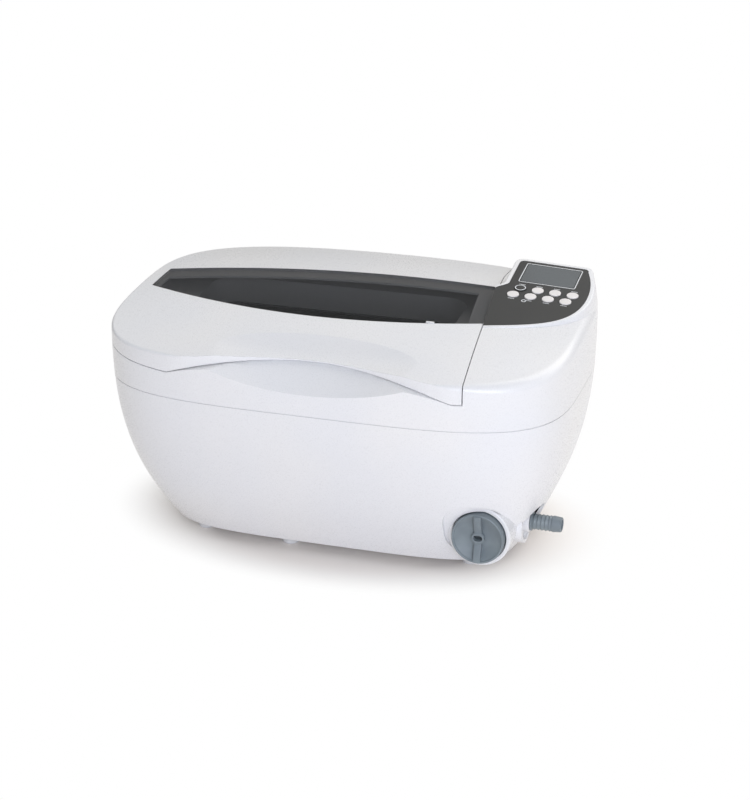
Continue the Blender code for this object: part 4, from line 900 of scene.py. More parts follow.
def bezier(points, steps):
    """Points along a Bezier curve, without its last one."""
    made = []
    for k in range(steps):
        row = points
        while len(row) > 1:
            row = [(x + (u - x) * k / steps, y + (v - y) * k / steps) for (x, y), (u, v) in zip(row, row[1:])]
        made.append(row[0])
    return made


def pod_outline(grow, slope=0.0):
    """Plan outline of the control panel, grown outwards, with its rear moved back by the slope."""
    right = PANEL_X + PANEL_R + grow
    front = PANEL_Y - PANEL_FRONT - grow
    back = PANEL_Y + PANEL_REAR + grow + slope
    front_left = lid_edge(PANEL_Y - PANEL_FRONT) + LID_GAP - grow
    left = lid_edge(PANEL_Y + PANEL_STEP_Y) + LID_GAP - grow
    corner = PANEL_CORNER + grow
    rear_right = right - PANEL_DRAW
    rear_left = left + PANEL_STEP
    swept = (front_left + PANEL_SWEEP, front + PANEL_SWEEP * PANEL_RISE)
    points = bezier([(front_left, front), swept, (right, PANEL_Y - PANEL_TURN), (right, PANEL_Y)], 56)
    bend = PANEL_Y + PANEL_REAR * PANEL_BEND
    points += bezier([(right, PANEL_Y), (right, bend), (rear_right, back - corner)], 20)
    points += bezier([(rear_right, back - corner), (rear_right, back), (rear_right - corner, back)], 12)
    points += bezier([(rear_left + corner, back), (rear_left, back), (rear_left, back - corner)], 12)
    for k in range(19):
        fall = k / 18
        y = PANEL_Y + PANEL_STEP_Y + PANEL_STEP_RUN * (1 - fall)
        points.append((left + PANEL_STEP * (1 - smooth_step(fall)), y))
    return points


def panel_z(x, y):
    return PANEL_Z + PANEL_TILT * (y - PANEL_Y) - PANEL_ROLL * (x - PANEL_X)


def panel_place():
    """Frame of the panel: origin at the centre of its round side, Z square to the face."""
    along = Vector((1, 0, -PANEL_ROLL)).normalized()
    normal = along.cross(Vector((0, 1, PANEL_TILT))).normalized()
    place = Matrix((along, normal.cross(along), normal)).transposed().to_4x4()
    place.translation = (PANEL_X, PANEL_Y, PANEL_Z)
    return place


def pod_ring(grow, drop, slope=0.0):
    return [(x, y, panel_z(x, y - slope) - drop) for x, y in pod_outline(grow, slope)]


def key_places():
    return [(x + KEY_PITCH * k, y) for x, y in KEY_ROWS for k in range(KEYS_IN_ROW)]


def keep_within_wall(turns, solid, inset):
    """Trim what stands past the body's outline."""
    bounds = [(x, y) for x, y, _ in wall_ring(turns, SHOULDER_Z, inset)]
    return combine(solid, "INTERSECT", column("wall_bounds", bounds))


def hinge_places():
    return [Matrix.Translation((x, HINGE_Y, HINGE_Z)) for x in HINGE_X]


def extruded_side(outline, x_low, x_high):
    return loft([[(x, y, z) for y, z in outline] for x in (x_low, x_high)])


def hinge_bores(name):
    radius = HINGE_PIN_D / 2 + GAP
    long = KNUCKLE_W / 2 + LUG_W + 2 * RUN_GAP
    shapes = []
    for place in hinge_places():
        verts, faces = turned([(radius, -long), (radius, long)], 32)
        shapes.append(([place @ TO_RIGHT @ Vector(v) for v in verts], faces))
    return build(name, *joined(shapes))


def upper_moulding(turns):
    """Upper housing: wall, deck with the finger recess, tank mouth, control pod and hinge lugs."""
    housing = build("upper_moulding", *top_solid(turns, 0.0, 0.0, PART_Z + PART_GAP / 2))
    rings = []
    for k in range(7):
        down = 1 - k / 6
        drop = POD_DEEP * down + POD_ROUND * k / 6
        rings.append(pod_ring(POD_RIM + POD_FLARE * down, drop, POD_SLOPE * down))
    for k in range(1, 6):
        bend = math.pi / 2 * k / 5
        rings.append(pod_ring(POD_RIM - POD_ROUND * (1 - math.cos(bend)), POD_ROUND * (1 - math.sin(bend))))
    hump = keep_within_wall(turns, build("pod_hump", *loft(rings)), GAP)
    cavity = build("upper_cavity", *top_solid(turns, WALL, WALL, PART_Z - WALL))
    hollow = [pod_ring(POD_RIM - WALL, POD_DEEP), pod_ring(POD_RIM - WALL, WALL + PANEL_T)]
    combine(cavity, "UNION", keep_within_wall(turns, build("pod_hollow", *loft(hollow)), GAP + WALL))
    dish_y = wall_y(0, DISH_Z, -1)
    dish_wall = slanted_trough("dish_wall", DISH_R, dish_y, DISH_Z, DISH_ANGLE, WALL)
    combine(cavity, "DIFFERENCE", lid_zone("deck_wall", -DECK_T, LID_GAP + WALL), dish_wall)
    collar = rounded_box(TANK_L + 2 * WALL, TANK_W + 2 * WALL, TANK_R + WALL, TANK_X, TANK_Y, 14)
    mouth = rounded_box(TANK_L, TANK_W, TANK_R, TANK_X, TANK_Y, 14)
    pocket = build("panel_pocket", *loft([pod_ring(GAP, PANEL_T + GAP), pod_ring(GAP, -SKY)]))
    window = build("panel_window", *loft([pod_ring(-PANEL_LEDGE, POD_DEEP), pod_ring(-PANEL_LEDGE, -SKY)]))
    combine(housing, "UNION", hump)
    combine(housing, "DIFFERENCE", cavity)
    combine(housing, "UNION", build("tank_collar", *prism(collar, COLLAR_Z, SEAT_REAR)))
    combine(
        housing,
        "DIFFERENCE",
        lid_zone("lid_space", 0.0, LID_GAP),
        column("tank_mouth", mouth),
        slanted_trough("finger_dish", DISH_R, dish_y, DISH_Z, DISH_ANGLE),
        pocket,
        window,
    )
    room = KEY_D / 2 + KEY_FLANGE + RUN_GAP
    for x, y in key_places():
        hole = prism(circle(room, 32, x, y), -2 * BOARD_DROP, SKY)
        combine(housing, "DIFFERENCE", build("key_room", *hole, panel_place()))
    lugs = []
    for x, place in zip(HINGE_X, hinge_places()):
        reach = HINGE_Y - wall_y(abs(x) + KNUCKLE_W / 2 + RUN_GAP + LUG_W, HINGE_Z, 1) + WALL
        leaf = [(-reach, HINGE_R * 0.5), (-reach, -HINGE_R - WALL), *arc(0.0, 0.0, HINGE_R, -90, 90, 24)]
        for side in (-1, 1):
            near = side * (KNUCKLE_W / 2 + RUN_GAP)
            lugs.append(build("hinge_lug", *extruded_side(leaf, near, near + side * LUG_W), place))
    combine(housing, "UNION", *lugs)
    return combine(housing, "DIFFERENCE", hinge_bores("lug_bores"))


def lower_moulding(turns):
    """Lower housing: bowl wall, knob shroud, outlet recess, rear vents and inlet seat."""
    top = PART_Z - PART_GAP / 2
    ledge_z = FLOOR_Z + WALL
    rows = 28
    rings = [wall_ring(turns, FLOOR_Z + (top - FLOOR_Z) * k / rows) for k in range(rows + 1)]
    rings += [wall_ring(turns, ledge_z + (top - ledge_z) * k / rows, WALL) for k in range(rows, -1, -1)]
    rings += [wall_ring(turns, FLOOR_Z, BASE_LEDGE, ledge_z), wall_ring(turns, FLOOR_Z, BASE_LEDGE)]
    housing = build("lower_moulding", *loft(rings, cyclic=True))
    knob = Matrix.Translation((VALVE_X, 0, VALVE_Z)) @ TO_FRONT
    inner = [wall_ring(turns, FLOOR_Z + (top - FLOOR_Z) * k / rows, RECESS_T) for k in range(rows + 1)]
    skin = build("recess_skin", *loft(inner))
    patch = rounded_box(RECESS_W, RECESS_H, RECESS_R, RECESS_SHIFT, RECESS_RISE, 14)
    recess = build("knob_recess", *prism(patch, SKY, 4 * SKY), knob)
    combine(housing, "DIFFERENCE", combine(recess, "DIFFERENCE", skin))
    well_r = KNOB_D / 2 + 2 * RUN_GAP
    boss_r = well_r + SHROUD_T
    floor = -KNOB_Y - KNOB_T - RUN_GAP
    lip = SHROUD_T * SHROUD_LIP
    crest = floor + SHROUD_RISE
    boss = [(boss_r, floor - SHROUD_FLOOR), (boss_r, crest - lip)]
    for bend in (0.5, 1.0, 1.57):
        boss.append((boss_r - lip * (1 - math.cos(bend)), crest - lip * (1 - math.sin(bend))))
    well = [(well_r, floor), (well_r * WELL_DRAFT, floor + SKY)]
    stem = [(STEM_D / 2 + RUN_GAP, 0), (STEM_D / 2 + RUN_GAP, floor + SKY)]
    combine(housing, "UNION", build("knob_boss", *turned(boss, 96), knob))
    outlet = Matrix.Translation((0, VALVE_Y, VALVE_Z)) @ TO_RIGHT
    face = OUTLET_FLOOR_X
    port = [(OUTLET_D / 2 + WALL, face - 2 * WALL), (OUTLET_D / 2 + WALL, face + WALL)]
    pocket = [(OUTLET_D / 2, face), (OUTLET_D / 2 * OUTLET_DRAFT, face + SKY)]
    hole = [(SPIGOT_D / 2 + GAP, face - SKY / 2), (SPIGOT_D / 2 + GAP, face + SKY)]
    combine(housing, "UNION", build("outlet_boss", *turned(port, 72), outlet))
    combine(
        housing,
        "DIFFERENCE",
        build("knob_well", *turned(well, 96), knob),
        build("stem_bore", *turned(stem, 40), knob),
        build("outlet_well", *turned(pocket, 72), outlet),
    )
    high = face + OUTLET_COLLAR_L
    collar_r = OUTLET_COLLAR_D / 2
    collar = [(collar_r, face - WALL), (collar_r, high - CHAMFER), (collar_r - CHAMFER, high)]
    combine(housing, "UNION", build("outlet_collar", *turned(collar, 72), outlet))
    combine(housing, "DIFFERENCE", build("outlet_hole", *turned(hole, 40), outlet))
    vents = []
    for k in range(REAR_VENT_COUNT):
        x = TANK_X + VENT_PITCH * (k - (REAR_VENT_COUNT - 1) / 2)
        slot = rounded_box(VENT_W, REAR_VENT_H, VENT_W * 0.45, 0.0, 0.0, 6)
        place = Matrix.Translation((x, wall_y(0, REAR_VENT_Z, 1), REAR_VENT_Z + REAR_VENT_H / 2)) @ TO_FRONT
        vents.append(build("rear_vent", *prism(slot, -SKY / 2, SKY / 2), place))
    combine(housing, "DIFFERENCE", *vents)
    seat = inlet_place()
    pad = rounded_box(INLET_W + 2 * WALL, INLET_H + 2 * WALL, WALL)
    combine(housing, "UNION", build("inlet_pad", *prism(pad, -2 * WALL - INLET_T, -INLET_T), seat))
    recess = rounded_box(INLET_W + 2 * GAP, INLET_H + 2 * GAP, WALL)
    opening = rounded_box(INLET_BODY_W + 2 * GAP, INLET_BODY_H + 2 * GAP, GAP)
    return combine(
        housing,
        "DIFFERENCE",
        build("inlet_recess", *prism(recess, -INLET_T - GAP, SKY), seat),
        build("inlet_opening", *prism(opening, -SKY / 2, SKY), seat),
    )


def inlet_place():
    """Frame of the mains inlet on the rear wall: Z out of the wall, X along it."""
    step = 0.004
    here = Vector((INLET_X, wall_y(INLET_X, INLET_Z, 1), INLET_Z))
    side = Vector((INLET_X - step, wall_y(INLET_X - step, INLET_Z, 1), INLET_Z)) - here
    rise = Vector((INLET_X, wall_y(INLET_X, INLET_Z + step, 1), INLET_Z + step)) - here
    along = side.normalized()
    normal = along.cross(rise).normalized()
    place = Matrix((along, normal.cross(along), normal)).transposed().to_4x4()
    place.translation = here
    return place


def lid_bay(name, grow):
    """The bay in front of the lid's lip, which runs out smoothly into the front wall."""
    front = []
    for k in range(97):
        share = 1 - k / 48
        x = LIP_X + ARCH_HALF * share
        y = wall_y(x, LIP_Z, -1) + LIP_BAY * (1 - share**2) ** 2 + grow
        front.append((x, y))
    edge = -HALF_D - SKY
    outline = [(LIP_X - ARCH_HALF, edge), (LIP_X + ARCH_HALF, edge), *front]
    return column(name, outline)


def lid_moulding(turns):
    """Lid: domed top with a window rebate, scooped lip and hinge knuckles."""
    shell = build("lid_moulding", *top_solid(turns, 0.0, 0.0, PART_Z))
    combine(shell, "INTERSECT", lid_zone("lid_space", LID_GAP, 0.0))
    inner = build("lid_cavity", *top_solid(turns, LID_WALL, LID_TOP, PART_Z - WALL))
    combine(inner, "INTERSECT", lid_zone("cavity_space", -SKY, -LID_WALL))
    combine(inner, "DIFFERENCE", lid_bay("lip_wall", LIP_WALL), lip_scoop("scoop_floor", SCOOP_T))
    rebate = build("window_rebate", *top_solid(turns, 0.0, -WALL, PART_Z))
    combine(rebate, "INTERSECT", column("rebate_sides", window_outline(GAP, right=-LEDGE_RIGHT)))
    below = top_solid(turns, -WALL, WINDOW_T + GAP, PART_Z - WALL)
    combine(rebate, "DIFFERENCE", build("rebate_floor", *below))
    through = window_outline(-LEDGE, LEDGE_REAR - LEDGE, LEDGE_RIGHT - LEDGE)
    combine(
        shell,
        "DIFFERENCE",
        inner,
        lid_bay("lip_bay", 0.0),
        lip_scoop("lip_scoop"),
        rebate,
        column("window_opening", through),
    )
    low = HINGE_DROP + LID_GAP
    inner_y = -HINGE_R - HINGE_CLEAR - 2 * LID_WALL
    leaf = [(inner_y, low + HINGE_R), (inner_y, low), (-HINGE_R, low)]
    leaf += [*arc(0.0, 0.0, HINGE_R, 180, 360, 24), (HINGE_R, low)]
    knuckle = extruded_side(leaf, -KNUCKLE_W / 2, KNUCKLE_W / 2)
    combine(shell, "UNION", *[build("hinge_knuckle", *knuckle, place) for place in hinge_places()])
    return combine(shell, "DIFFERENCE", hinge_bores("knuckle_bores"))


def window_pane(turns):
    """The pane, which follows the dome."""
    pane = build("window_pane", *top_solid(turns, 0.0, 0.0, PART_Z))
    combine(pane, "INTERSECT", column("pane_sides", window_outline(0.0, right=GAP)))
    below = top_solid(turns, -WALL, WINDOW_T, PART_Z - WALL)
    return combine(pane, "DIFFERENCE", build("pane_underside", *below))


def seam_tongue(turns):
    """The tongue of the lower moulding that closes the parting line from within."""
    low, high = PART_Z - PART_GAP, PART_Z + PART_GAP
    outer = [wall_point(turn, PART_Z, TONGUE_DEEP) for turn in turns]
    inner = [wall_point(turn, PART_Z, TONGUE_DEEP + TONGUE_T) for turn in turns]
    tongue = build("seam_tongue", *prism(outer, low, high))
    return combine(tongue, "DIFFERENCE", build("tongue_inside", *prism(inner, low - SKY, high + SKY)))


def window_clip():
    """The small clip that holds the pane down at its front edge."""
    y = window_front(CLIP_X) + CLIP_D / 2 - GAP
    top = top_z(CLIP_X, y) + CLIP_PROUD
    block = rounded_box(CLIP_W, CLIP_D, CLIP_R, CLIP_X, y, 6)
    return build("window_clip", *prism(block, top - WINDOW_T, top))


class CLEANER_OT_housing(bpy.types.Operator):
    """Build the upper and lower mouldings and the seam tongue, and finish the base plate"""

    bl_idname = "cleaner.housing"
    bl_label = "Housing mouldings"

    def execute(self, context):
        turns = even_turns(context.scene.cleaner_shape.ring_steps)
        white = ("white_abs", "housing", "white_plastic")
        dress(upper_moulding(turns), *white, ["upper_housing"], shift=TO_WORLD)
        dress(lower_moulding(turns), *white, ["lower_housing"], shift=TO_WORLD)
        dress(seam_tongue(turns), *white, shift=TO_WORLD)
        dress_node("base_plate", "white_abs")
        return {"FINISHED"}


class CLEANER_OT_lid(bpy.types.Operator):
    """Build the lid, its window and the clip on the window's front edge"""

    bl_idname = "cleaner.lid"
    bl_label = "Lid and window"

    def execute(self, context):
        turns = even_turns(context.scene.cleaner_shape.ring_steps)
        dress(lid_moulding(turns), "white_abs", "lid", "white_plastic", ["lid_shell"], shift=TO_WORLD)
        dress(window_pane(turns), "window", "lid", "smoked_acrylic", ["lid_window"], shift=TO_WORLD)
        dress(window_clip(), "white_abs", "lid", "white_plastic", shift=TO_WORLD)
        for name in ("hinge_pin_1", "hinge_pin_2"):
            dress_node(name, "bright_steel")
        return {"FINISHED"}


class CLEANER_OT_control_pod(bpy.types.Operator):
    """Build the panel film, key caps and printed marks"""

    bl_idname = "cleaner.control_pod"
    bl_label = "Control pod"

    def execute(self, context):
        place = TO_WORLD @ panel_place()
        panel = build("panel_plate", *loft([pod_ring(0.0, PANEL_T), pod_ring(0.0, 0.0)]), TO_WORLD)
        for x, y in key_places():
            hole = prism(circle(KEY_D / 2 + RUN_GAP, 40, x, y), -SKY, SKY)
            combine(panel, "DIFFERENCE", build("key_hole", *hole, place))
        wide = DISPLAY_W + 2 * GAP
        tall = DISPLAY_H + 2 * GAP
        opening = rounded_box(wide, tall, DISPLAY_R, DISPLAY_X, DISPLAY_Y, 6)
        combine(panel, "DIFFERENCE", build("display_hole", *prism(opening, -SKY, SKY), place))
        dress(panel, "film", "housing", "panel_film", ["control_panel"])
        dress_node("display_lens", "display")
        self.keys(place)
        self.marks(context, place)
        return {"FINISHED"}

    def keys(self, place):
        low = -PANEL_T - RUN_GAP - KEY_FLANGE_T
        radius = KEY_D / 2
        profile = [(radius + KEY_FLANGE, low), (radius + KEY_FLANGE, low + KEY_FLANGE_T)]
        profile += [(radius, low + KEY_FLANGE_T), (radius, KEY_EDGE)]
        for k in range(1, 7):
            bend = math.pi / 2 * k / 6
            reach = radius - KEY_ROUND * (1 - math.cos(bend))
            profile.append((reach, KEY_PROUD * (0.3 + 0.55 * math.sin(bend))))
        profile += [(radius * inward, KEY_PROUD * rise) for inward, rise in KEY_CROWN]
        for index, (x, y) in enumerate(key_places()):
            key = build(f"key_cap_{index + 1}", *turned(profile, 48), place @ Matrix.Translation((x, y, 0)))
            look = "film" if index == 0 else "key"
            dress(key, look, f"key_body_{index + 1}", "key_plastic", [f"key_{index + 1}"], crease=50.0)

    def marks(self, context, place):
        """Ink: a frame round the display, a ring on the dark key, a dash by each key and a small ring."""
        line = context.scene.cleaner_shape.line_width
        rise = context.scene.cleaner_shape.print_rise
        wide = DISPLAY_W + 2 * line
        tall = DISPLAY_H + 2 * line
        outer = rounded_box(wide + 2 * line, tall + 2 * line, FRAME_R, DISPLAY_X, DISPLAY_Y, 6)
        inner = rounded_box(wide, tall, DISPLAY_R, DISPLAY_X, DISPLAY_Y, 6)
        self.ring("display_frame", outer, inner, rise, place, "housing")
        x, y = key_places()[0]
        top = KEY_PROUD + rise
        outer = circle(KEY_RING_R, 64, x, y)
        inner = circle(KEY_RING_R - line, 64, x, y)
        self.ring("key_ring", outer, inner, top, place, "key_body_1")
        dashes = []
        for index, (x, y) in enumerate(key_places()):
            side = 1 if index < KEYS_IN_ROW else -1
            dash = rounded_box(DASH_L, line * 0.8, line * 0.39, x, y + side * KEY_D * DASH_AWAY, 4)
            dashes.append(prism(dash, rise * 0.2, rise))
        dress(build("key_dashes", *joined(dashes), place), "ink", "housing", "key_plastic")
        outer = circle(LAMP_MARK_D / 2, 48, *LAMP_MARK)
        inner = circle(LAMP_MARK_D / 2 - line, 48, *LAMP_MARK)
        self.ring("small_ring_mark", outer, inner, rise, place, "housing")

    def ring(self, name, outer, inner, rise, place, body):
        low = rise - INK_T
        rings = [[(x, y, low) for x, y in outer], [(x, y, rise) for x, y in outer]]
        rings += [[(x, y, rise) for x, y in inner], [(x, y, low) for x, y in inner]]
        dress(build(name, *loft(rings, cyclic=True), place), "ink", body, "key_plastic")


class CLEANER_OT_drain(bpy.types.Operator):
    """Build the drain knob and the hose barb"""

    bl_idname = "cleaner.drain"
    bl_label = "Drain knob and barb"

    def execute(self, context):
        self.knob()
        self.barb()
        return {"FINISHED"}

    def knob(self):
        """Dished knob with a grip bar across it and a slotted hub."""
        axis = TO_WORLD @ Matrix.Translation((VALVE_X, VALVE_Y, VALVE_Z)) @ TO_FRONT
        radius = KNOB_D / 2
        face = KNOB_BACK + KNOB_T
        profile = [(radius, KNOB_BACK)]
        for k in range(7):
            bend = math.pi * k / 6
            inward = KNOB_CURL * (1 - math.cos(bend))
            profile.append((radius - inward, face - KNOB_CURL * (1 - math.sin(bend))))
        for k in range(1, 10):
            share = k / 9
            depth = KNOB_CURL + (KNOB_DISH - KNOB_CURL) * math.sin(share * math.pi / 2)
            profile.append((radius * (KNOB_DISH_START - KNOB_DISH_RUN * share), face - depth))
        knob = build("drain_knob_face", *turned(profile, 112), axis)
        low = KNOB_BACK + KNOB_T * 0.3
        top = face + KNOB_BAR_PROUD
        hub_top = face - KNOB_HUB_SINK
        hub_r = KNOB_HUB_D / 2
        end = radius - KNOB_BAR_END
        flat = radius * KNOB_BAR_FLAT
        half = KNOB_BAR_W / 2
        steps = [(half - inward, drop) for inward, drop in KNOB_BAR_EDGE]
        rings = []
        for x, drop in [(-x, drop) for x, drop in steps] + steps[::-1]:
            high = top - drop
            side = [(-end, low), (end, low), (end - drop, high), (flat, high), (hub_r, hub_top - drop)]
            side += [(-hub_r, hub_top - drop), (-flat, high), (drop - end, high)]
            rings.append([(x, y, z) for y, z in side])
        grip = build("knob_grip", *loft(rings), axis)
        rise = hub_top + GAP
        hub_profile = [(hub_r, low), (hub_r, rise - CHAMFER), (hub_r - CHAMFER, rise)]
        hub = build("knob_hub", *turned(hub_profile, 64), axis)
        combine(knob, "UNION", grip, hub)
        slot = rounded_box(KNOB_SLOT_W, KNOB_SLOT_H, KNOB_SLOT_H * 0.45, 0.0, 0.0, 10)
        floor = KNOB_BACK + KNOB_T * 0.5 + GAP
        combine(knob, "DIFFERENCE", build("knob_slot", *prism(slot, floor - GAP, top + SKY), axis))
        dress(knob, "fitting", "valve", "grey_plastic", ["drain_knob"], crease=38.0)

    def barb(self):
        """Barbed outlet with a flange against the wall's collar."""
        start = VALVE_X + VALVE_HALF + GAP
        seat = OUTLET_FLOOR_X + OUTLET_COLLAR_L + GAP
        first = seat + BARB_FLANGE_T
        bore_r = BORE_D / 2
        spigot_r = SPIGOT_D / 2
        flange_r = BARB_FLANGE_D / 2
        tip_r = BARB_D / 2
        rib_r = tip_r - BARB_RIB_LOW
        neck = tip_r * BARB_NECK
        tip = BARB_TIP_X - BARB_TIP_L
        pitch = (tip - first) / BARB_RIBS
        profile = [(bore_r, start), (spigot_r, start), (spigot_r, seat), (flange_r, seat)]
        profile += [(flange_r, first - BARB_EDGE), (flange_r - BARB_EDGE, first), (neck, first)]
        for k in range(BARB_RIBS):
            x = first + pitch * (k + BARB_RIB_START)
            rise, fall, foot = (x + pitch * share for share in BARB_RIB)
            profile += [(neck, x), (rib_r, rise), (rib_r, fall), (neck, foot)]
        profile += [(neck, tip), *[(tip_r, tip + along) for along in BARB_TIP_LIP]]
        profile += [(neck, BARB_TIP_X - CHAMFER), (neck - CHAMFER, BARB_TIP_X), (bore_r, BARB_TIP_X)]
        place = TO_WORLD @ Matrix.Translation((0, VALVE_Y, VALVE_Z)) @ TO_RIGHT
        barb = build("outlet_barb", *turned(profile, 72, cyclic=True), place)
        dress(barb, "fitting", "housing", "grey_plastic", ["hose_barb"])


class CLEANER_OT_tank(bpy.types.Operator):
    """Build the drawn tank that shows through the window and finish its seal"""

    bl_idname = "cleaner.tank"
    bl_label = "Tank"

    def execute(self, context):
        flange_top = COLLAR_Z - GASKET_T - 2 * GAP

        def ring(inset, z, radius):
            outline = rounded_box(TANK_L - 2 * inset, TANK_W - 2 * inset, radius, TANK_X, TANK_Y, 14)
            return [(x, y, z) for x, y in outline]

        rings = []
        for k in range(9):
            bend = math.pi / 2 * k / 8
            inset = TANK_T + TANK_FOOT_R * (1 - math.sin(bend))
            rings.append(ring(inset, TANK_BOTTOM_Z + TANK_FOOT_R * (1 - math.cos(bend)), TANK_R))
        rings += [ring(TANK_T, flange_top, TANK_R), ring(-FLANGE, flange_top, TANK_R + FLANGE)]
        rings += [ring(-FLANGE, flange_top - TANK_T, TANK_R + FLANGE), ring(0, flange_top - TANK_T, TANK_R)]
        reach = TANK_FOOT_R + TANK_T
        for k in range(8, -1, -1):
            bend = math.pi / 2 * k / 8
            z = TANK_BOTTOM_Z - TANK_T + reach * (1 - math.cos(bend))
            rings.append(ring(reach * (1 - math.sin(bend)), z, TANK_R))
        vessel = build("drawn_tank", *loft(rings))
        drain = prism(circle(BORE_D / 2, 40, DRAIN_X, DRAIN_Y), FLOOR_Z, TANK_BOTTOM_Z + TANK_FOOT_R)
        combine(vessel, "DIFFERENCE", build("drain_hole", *drain))
        dress(vessel, "steel", "housing", "steel", ["tank"], shift=TO_WORLD)
        dress_node("tank_gasket", "seal")
        return {"FINISHED"}


class CLEANER_OT_fittings(bpy.types.Operator):
    """Finish the feet, the mains inlet and the screws of the base plate and the inlet"""

    bl_idname = "cleaner.fittings"
    bl_label = "Feet, inlet and screws"

    def execute(self, context):
        head = context.scene.cleaner_shape.screw_d
        profile = [*[(FOOT_R * share, z) for share, z in FOOT_TOE], (FOOT_R, FOOT_HEIGHT)]
        for index in range(1, 7):
            low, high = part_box(f"foot_{index}")
            spot = Matrix.Translation(((low.x + high.x) / 2, (low.y + high.y) / 2, 0.0))
            foot = build(f"rubber_foot_{index}", *turned(profile, 56), spot)
            dress(foot, "foot", "housing", "foot_rubber", [f"foot_{index}"], crease=40.0)
        dress_node("mains_inlet", "black")
        spots = []
        for x in SCREW_X:
            for side in (-1, 1):
                y = wall_y(x, FLOOR_Z, side) - side * SCREW_INSET - ORIGIN_Y
                spots.append(Matrix.Translation((x, y, FOOT_HEIGHT + GAP)) @ Matrix.Rotation(math.pi, 4, "X"))
        seat = TO_WORLD @ inlet_place()
        for side in (-1, 1):
            shift = Matrix.Translation((side * INLET_SCREW_X, 0.0, 0.0))
            spots.append(seat @ shift @ Matrix.Scale(INLET_SCREW_SIZE, 4))
        for index, spot in enumerate(spots):
            self.screw(f"screw_{index + 1}", head, spot)
        return {"FINISHED"}

    def screw(self, name, head, spot):
        """Pan-head screw with a cross recess."""
        radius = head / 2
        profile = [(radius, -SCREW_SEAT), (radius, SCREW_SEAT)]
        for bend in (0.4, 0.8, 1.15, 1.45):
            profile.append((radius * math.cos(bend), SCREW_SEAT + SCREW_CROWN * math.sin(bend)))
        screw = build(name, *turned(profile, 40), spot)
        long = head * 0.58
        wide = head * 0.14
        for size in ((long, wide), (wide, long)):
            slot = prism(rounded_box(*size, head * 0.05), *SCREW_SLOT)
            combine(screw, "DIFFERENCE", build("screw_slot", *slot, spot))
        dress(screw, "bright_steel", "housing", "steel")


class CLEANER_OT_works(bpy.types.Operator):
    """Finish the pieces inside the housing"""

    bl_idname = "cleaner.works"
    bl_label = "Inner works"

    def execute(self, context):
        looks = {
            "aluminium": ("transducer_horn_1", "transducer_horn_2", "heat_sink", "board_bracket"),
            "ceramic": ("piezo_stack_1", "piezo_stack_2"),
            "steel": ("back_mass_1", "back_mass_2"),
            "heater": ("heater_pad",),
            "seal": ("drain_hose",),
            "fitting": ("drain_elbow", "valve_body", "valve_plug"),
            "black": ("fan_frame", "fan_rotor", "transformer", "display_module"),
            "board": ("power_board", "control_board"),
        }
        for look, names in looks.items():
            for name in names:
                dress_node(name, look)
        return {"FINISHED"}


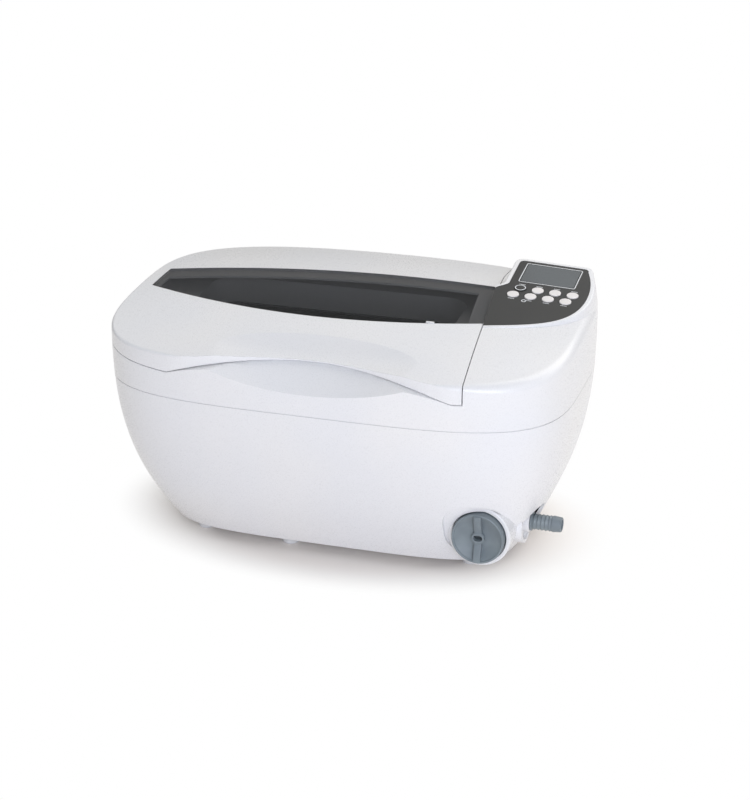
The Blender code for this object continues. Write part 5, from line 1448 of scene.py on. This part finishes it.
class CLEANER_OT_studio(bpy.types.Operator):
    """Set up the floor, the soft light and the camera"""

    bl_idname = "cleaner.studio"
    bl_label = "Studio"

    def execute(self, context):
        scene = context.scene
        scene.view_settings.view_transform = "Standard"
        self.floor(scene.cleaner_colours)
        self.world(scene)
        studio = scene.cleaner_studio
        self.lamp("key_light", KEY_PLACE, KEY_SIZE, studio.key_power, "#FFFBF5")
        self.lamp("fill_light", FILL_PLACE, FILL_SIZE, studio.fill_power, "#EAF0FF")
        self.camera(scene)
        return {"FINISHED"}

    def floor(self, tones):
        """Pale floor that turns to even white away from the object."""
        ground = build("studio_floor", *prism(circle(FLOOR_R, 96), -FLOOR_T, 0.0))
        made = bpy.data.materials.new("studio_floor_paint")
        made.use_nodes = True
        tree = made.node_tree
        tree.nodes.clear()
        place = node(tree, "ShaderNodeTexCoord").outputs["Object"]
        halves = (1 / HALF_L, 1 / HALF_D, 0.0)
        spread = node(tree, "ShaderNodeMapping", [("Vector", place), ("Scale", halves)])
        reach = node(tree, "ShaderNodeVectorMath", [(0, spread.outputs["Vector"])], operation="LENGTH")
        fade = smooth_range(tree, reach.outputs["Value"], *FLOOR_FADE)
        rays = node(tree, "ShaderNodeLightPath").outputs
        first = maths(tree, "MAXIMUM", rays["Is Camera Ray"], rays["Is Glossy Ray"])
        seen = maths(tree, "MAXIMUM", first, rays["Is Transmission Ray"])
        paint = node(tree, "ShaderNodeBsdfDiffuse", [("Color", (*tones.floor, 1.0))])
        glow = node(tree, "ShaderNodeEmission", [("Color", WHITE), ("Strength", 1.0)])
        mixed = mixed_shader(tree, maths(tree, "MULTIPLY", fade, seen), paint, glow)
        node(tree, "ShaderNodeOutputMaterial", [("Surface", mixed.outputs[0])])
        ground.data.materials.append(made)

    def world(self, scene):
        """Even light, white behind the object; reflections see it darken overhead and at the horizon."""
        sky = bpy.data.worlds.new("studio_sky")
        scene.world = sky
        sky.use_nodes = True
        tree = sky.node_tree
        tree.nodes.clear()
        rays = node(tree, "ShaderNodeLightPath").outputs
        place = node(tree, "ShaderNodeTexCoord").outputs["Generated"]
        height = node(tree, "ShaderNodeSeparateXYZ", [(0, place)]).outputs["Z"]
        band = maths(
            tree, "MULTIPLY", smooth_range(tree, height, **OVERHEAD), smooth_range(tree, height, **HORIZON)
        )
        strength = scene.cleaner_studio.sky
        light = node(tree, "ShaderNodeBackground", [("Color", SKY_TINT), ("Strength", strength)])
        mirrored = node(tree, "ShaderNodeBackground", [("Color", SKY_TINT), ("Strength", band)])
        white = node(tree, "ShaderNodeBackground", [("Color", WHITE), ("Strength", 1.0)])
        lit = mixed_shader(tree, rays["Is Glossy Ray"], light, mirrored)
        seen = maths(tree, "MAXIMUM", rays["Is Camera Ray"], rays["Is Transmission Ray"])
        mixed = mixed_shader(tree, seen, lit, white)
        node(tree, "ShaderNodeOutputWorld", [("Surface", mixed.outputs[0])])

    def lamp(self, name, spot, size, power, code):
        light = bpy.data.lights.new(name, "AREA")
        light.shape = "DISK"
        light.size = size
        light.energy = power
        light.color = linear(code)
        made = bpy.data.objects.new(name, light)
        made.location = spot
        made.rotation_euler = (LAMP_AIM - Vector(spot)).to_track_quat("-Z", "Y").to_euler()
        bpy.context.scene.collection.objects.link(made)

    def camera(self, scene):
        back = Vector(
            (
                math.sin(VIEW_AZIMUTH) * math.cos(VIEW_ELEVATION),
                -math.cos(VIEW_AZIMUTH) * math.cos(VIEW_ELEVATION),
                math.sin(VIEW_ELEVATION),
            )
        )
        lens = bpy.data.cameras.new("photo_camera")
        lens.sensor_fit = "HORIZONTAL"
        lens.lens = lens.sensor_width * VIEW_FOCAL / VIEW_WIDTH
        made = bpy.data.objects.new("photo_camera", lens)
        made.location = VIEW_TARGET + back * VIEW_DISTANCE
        made.rotation_euler = back.to_track_quat("Z", "Y").to_euler()
        scene.collection.objects.link(made)
        scene.camera = made


class CLEANER_PT_panel(bpy.types.Panel):
    """Lists the steps that build the cleaner"""

    bl_label = "Ultrasonic cleaner"
    bl_idname = "CLEANER_PT_panel"
    bl_space_type = "VIEW_3D"
    bl_region_type = "UI"
    bl_category = "Cleaner"

    def draw(self, context):
        for step in STEPS:
            self.layout.operator(step.bl_idname)


STEPS = (
    CLEANER_OT_housing,
    CLEANER_OT_lid,
    CLEANER_OT_control_pod,
    CLEANER_OT_drain,
    CLEANER_OT_tank,
    CLEANER_OT_fittings,
    CLEANER_OT_works,
    CLEANER_OT_studio,
)
CLASSES = (CleanerShape, CleanerColours, CleanerStudio, *STEPS, CLEANER_PT_panel)


def register():
    for made in CLASSES:
        bpy.utils.register_class(made)
    bpy.types.Scene.cleaner_shape = PointerProperty(type=CleanerShape)
    bpy.types.Scene.cleaner_colours = PointerProperty(type=CleanerColours)
    bpy.types.Scene.cleaner_studio = PointerProperty(type=CleanerStudio)


def unregister():
    del bpy.types.Scene.cleaner_studio
    del bpy.types.Scene.cleaner_colours
    del bpy.types.Scene.cleaner_shape
    for made in reversed(CLASSES):
        bpy.utils.unregister_class(made)


def main():
    register()
    bpy.ops.cleaner.housing()
    bpy.ops.cleaner.lid()
    bpy.ops.cleaner.control_pod()
    bpy.ops.cleaner.drain()
    bpy.ops.cleaner.tank()
    bpy.ops.cleaner.fittings()
    bpy.ops.cleaner.works()
    bpy.ops.cleaner.studio()


if __name__ == "__main__":
    main()
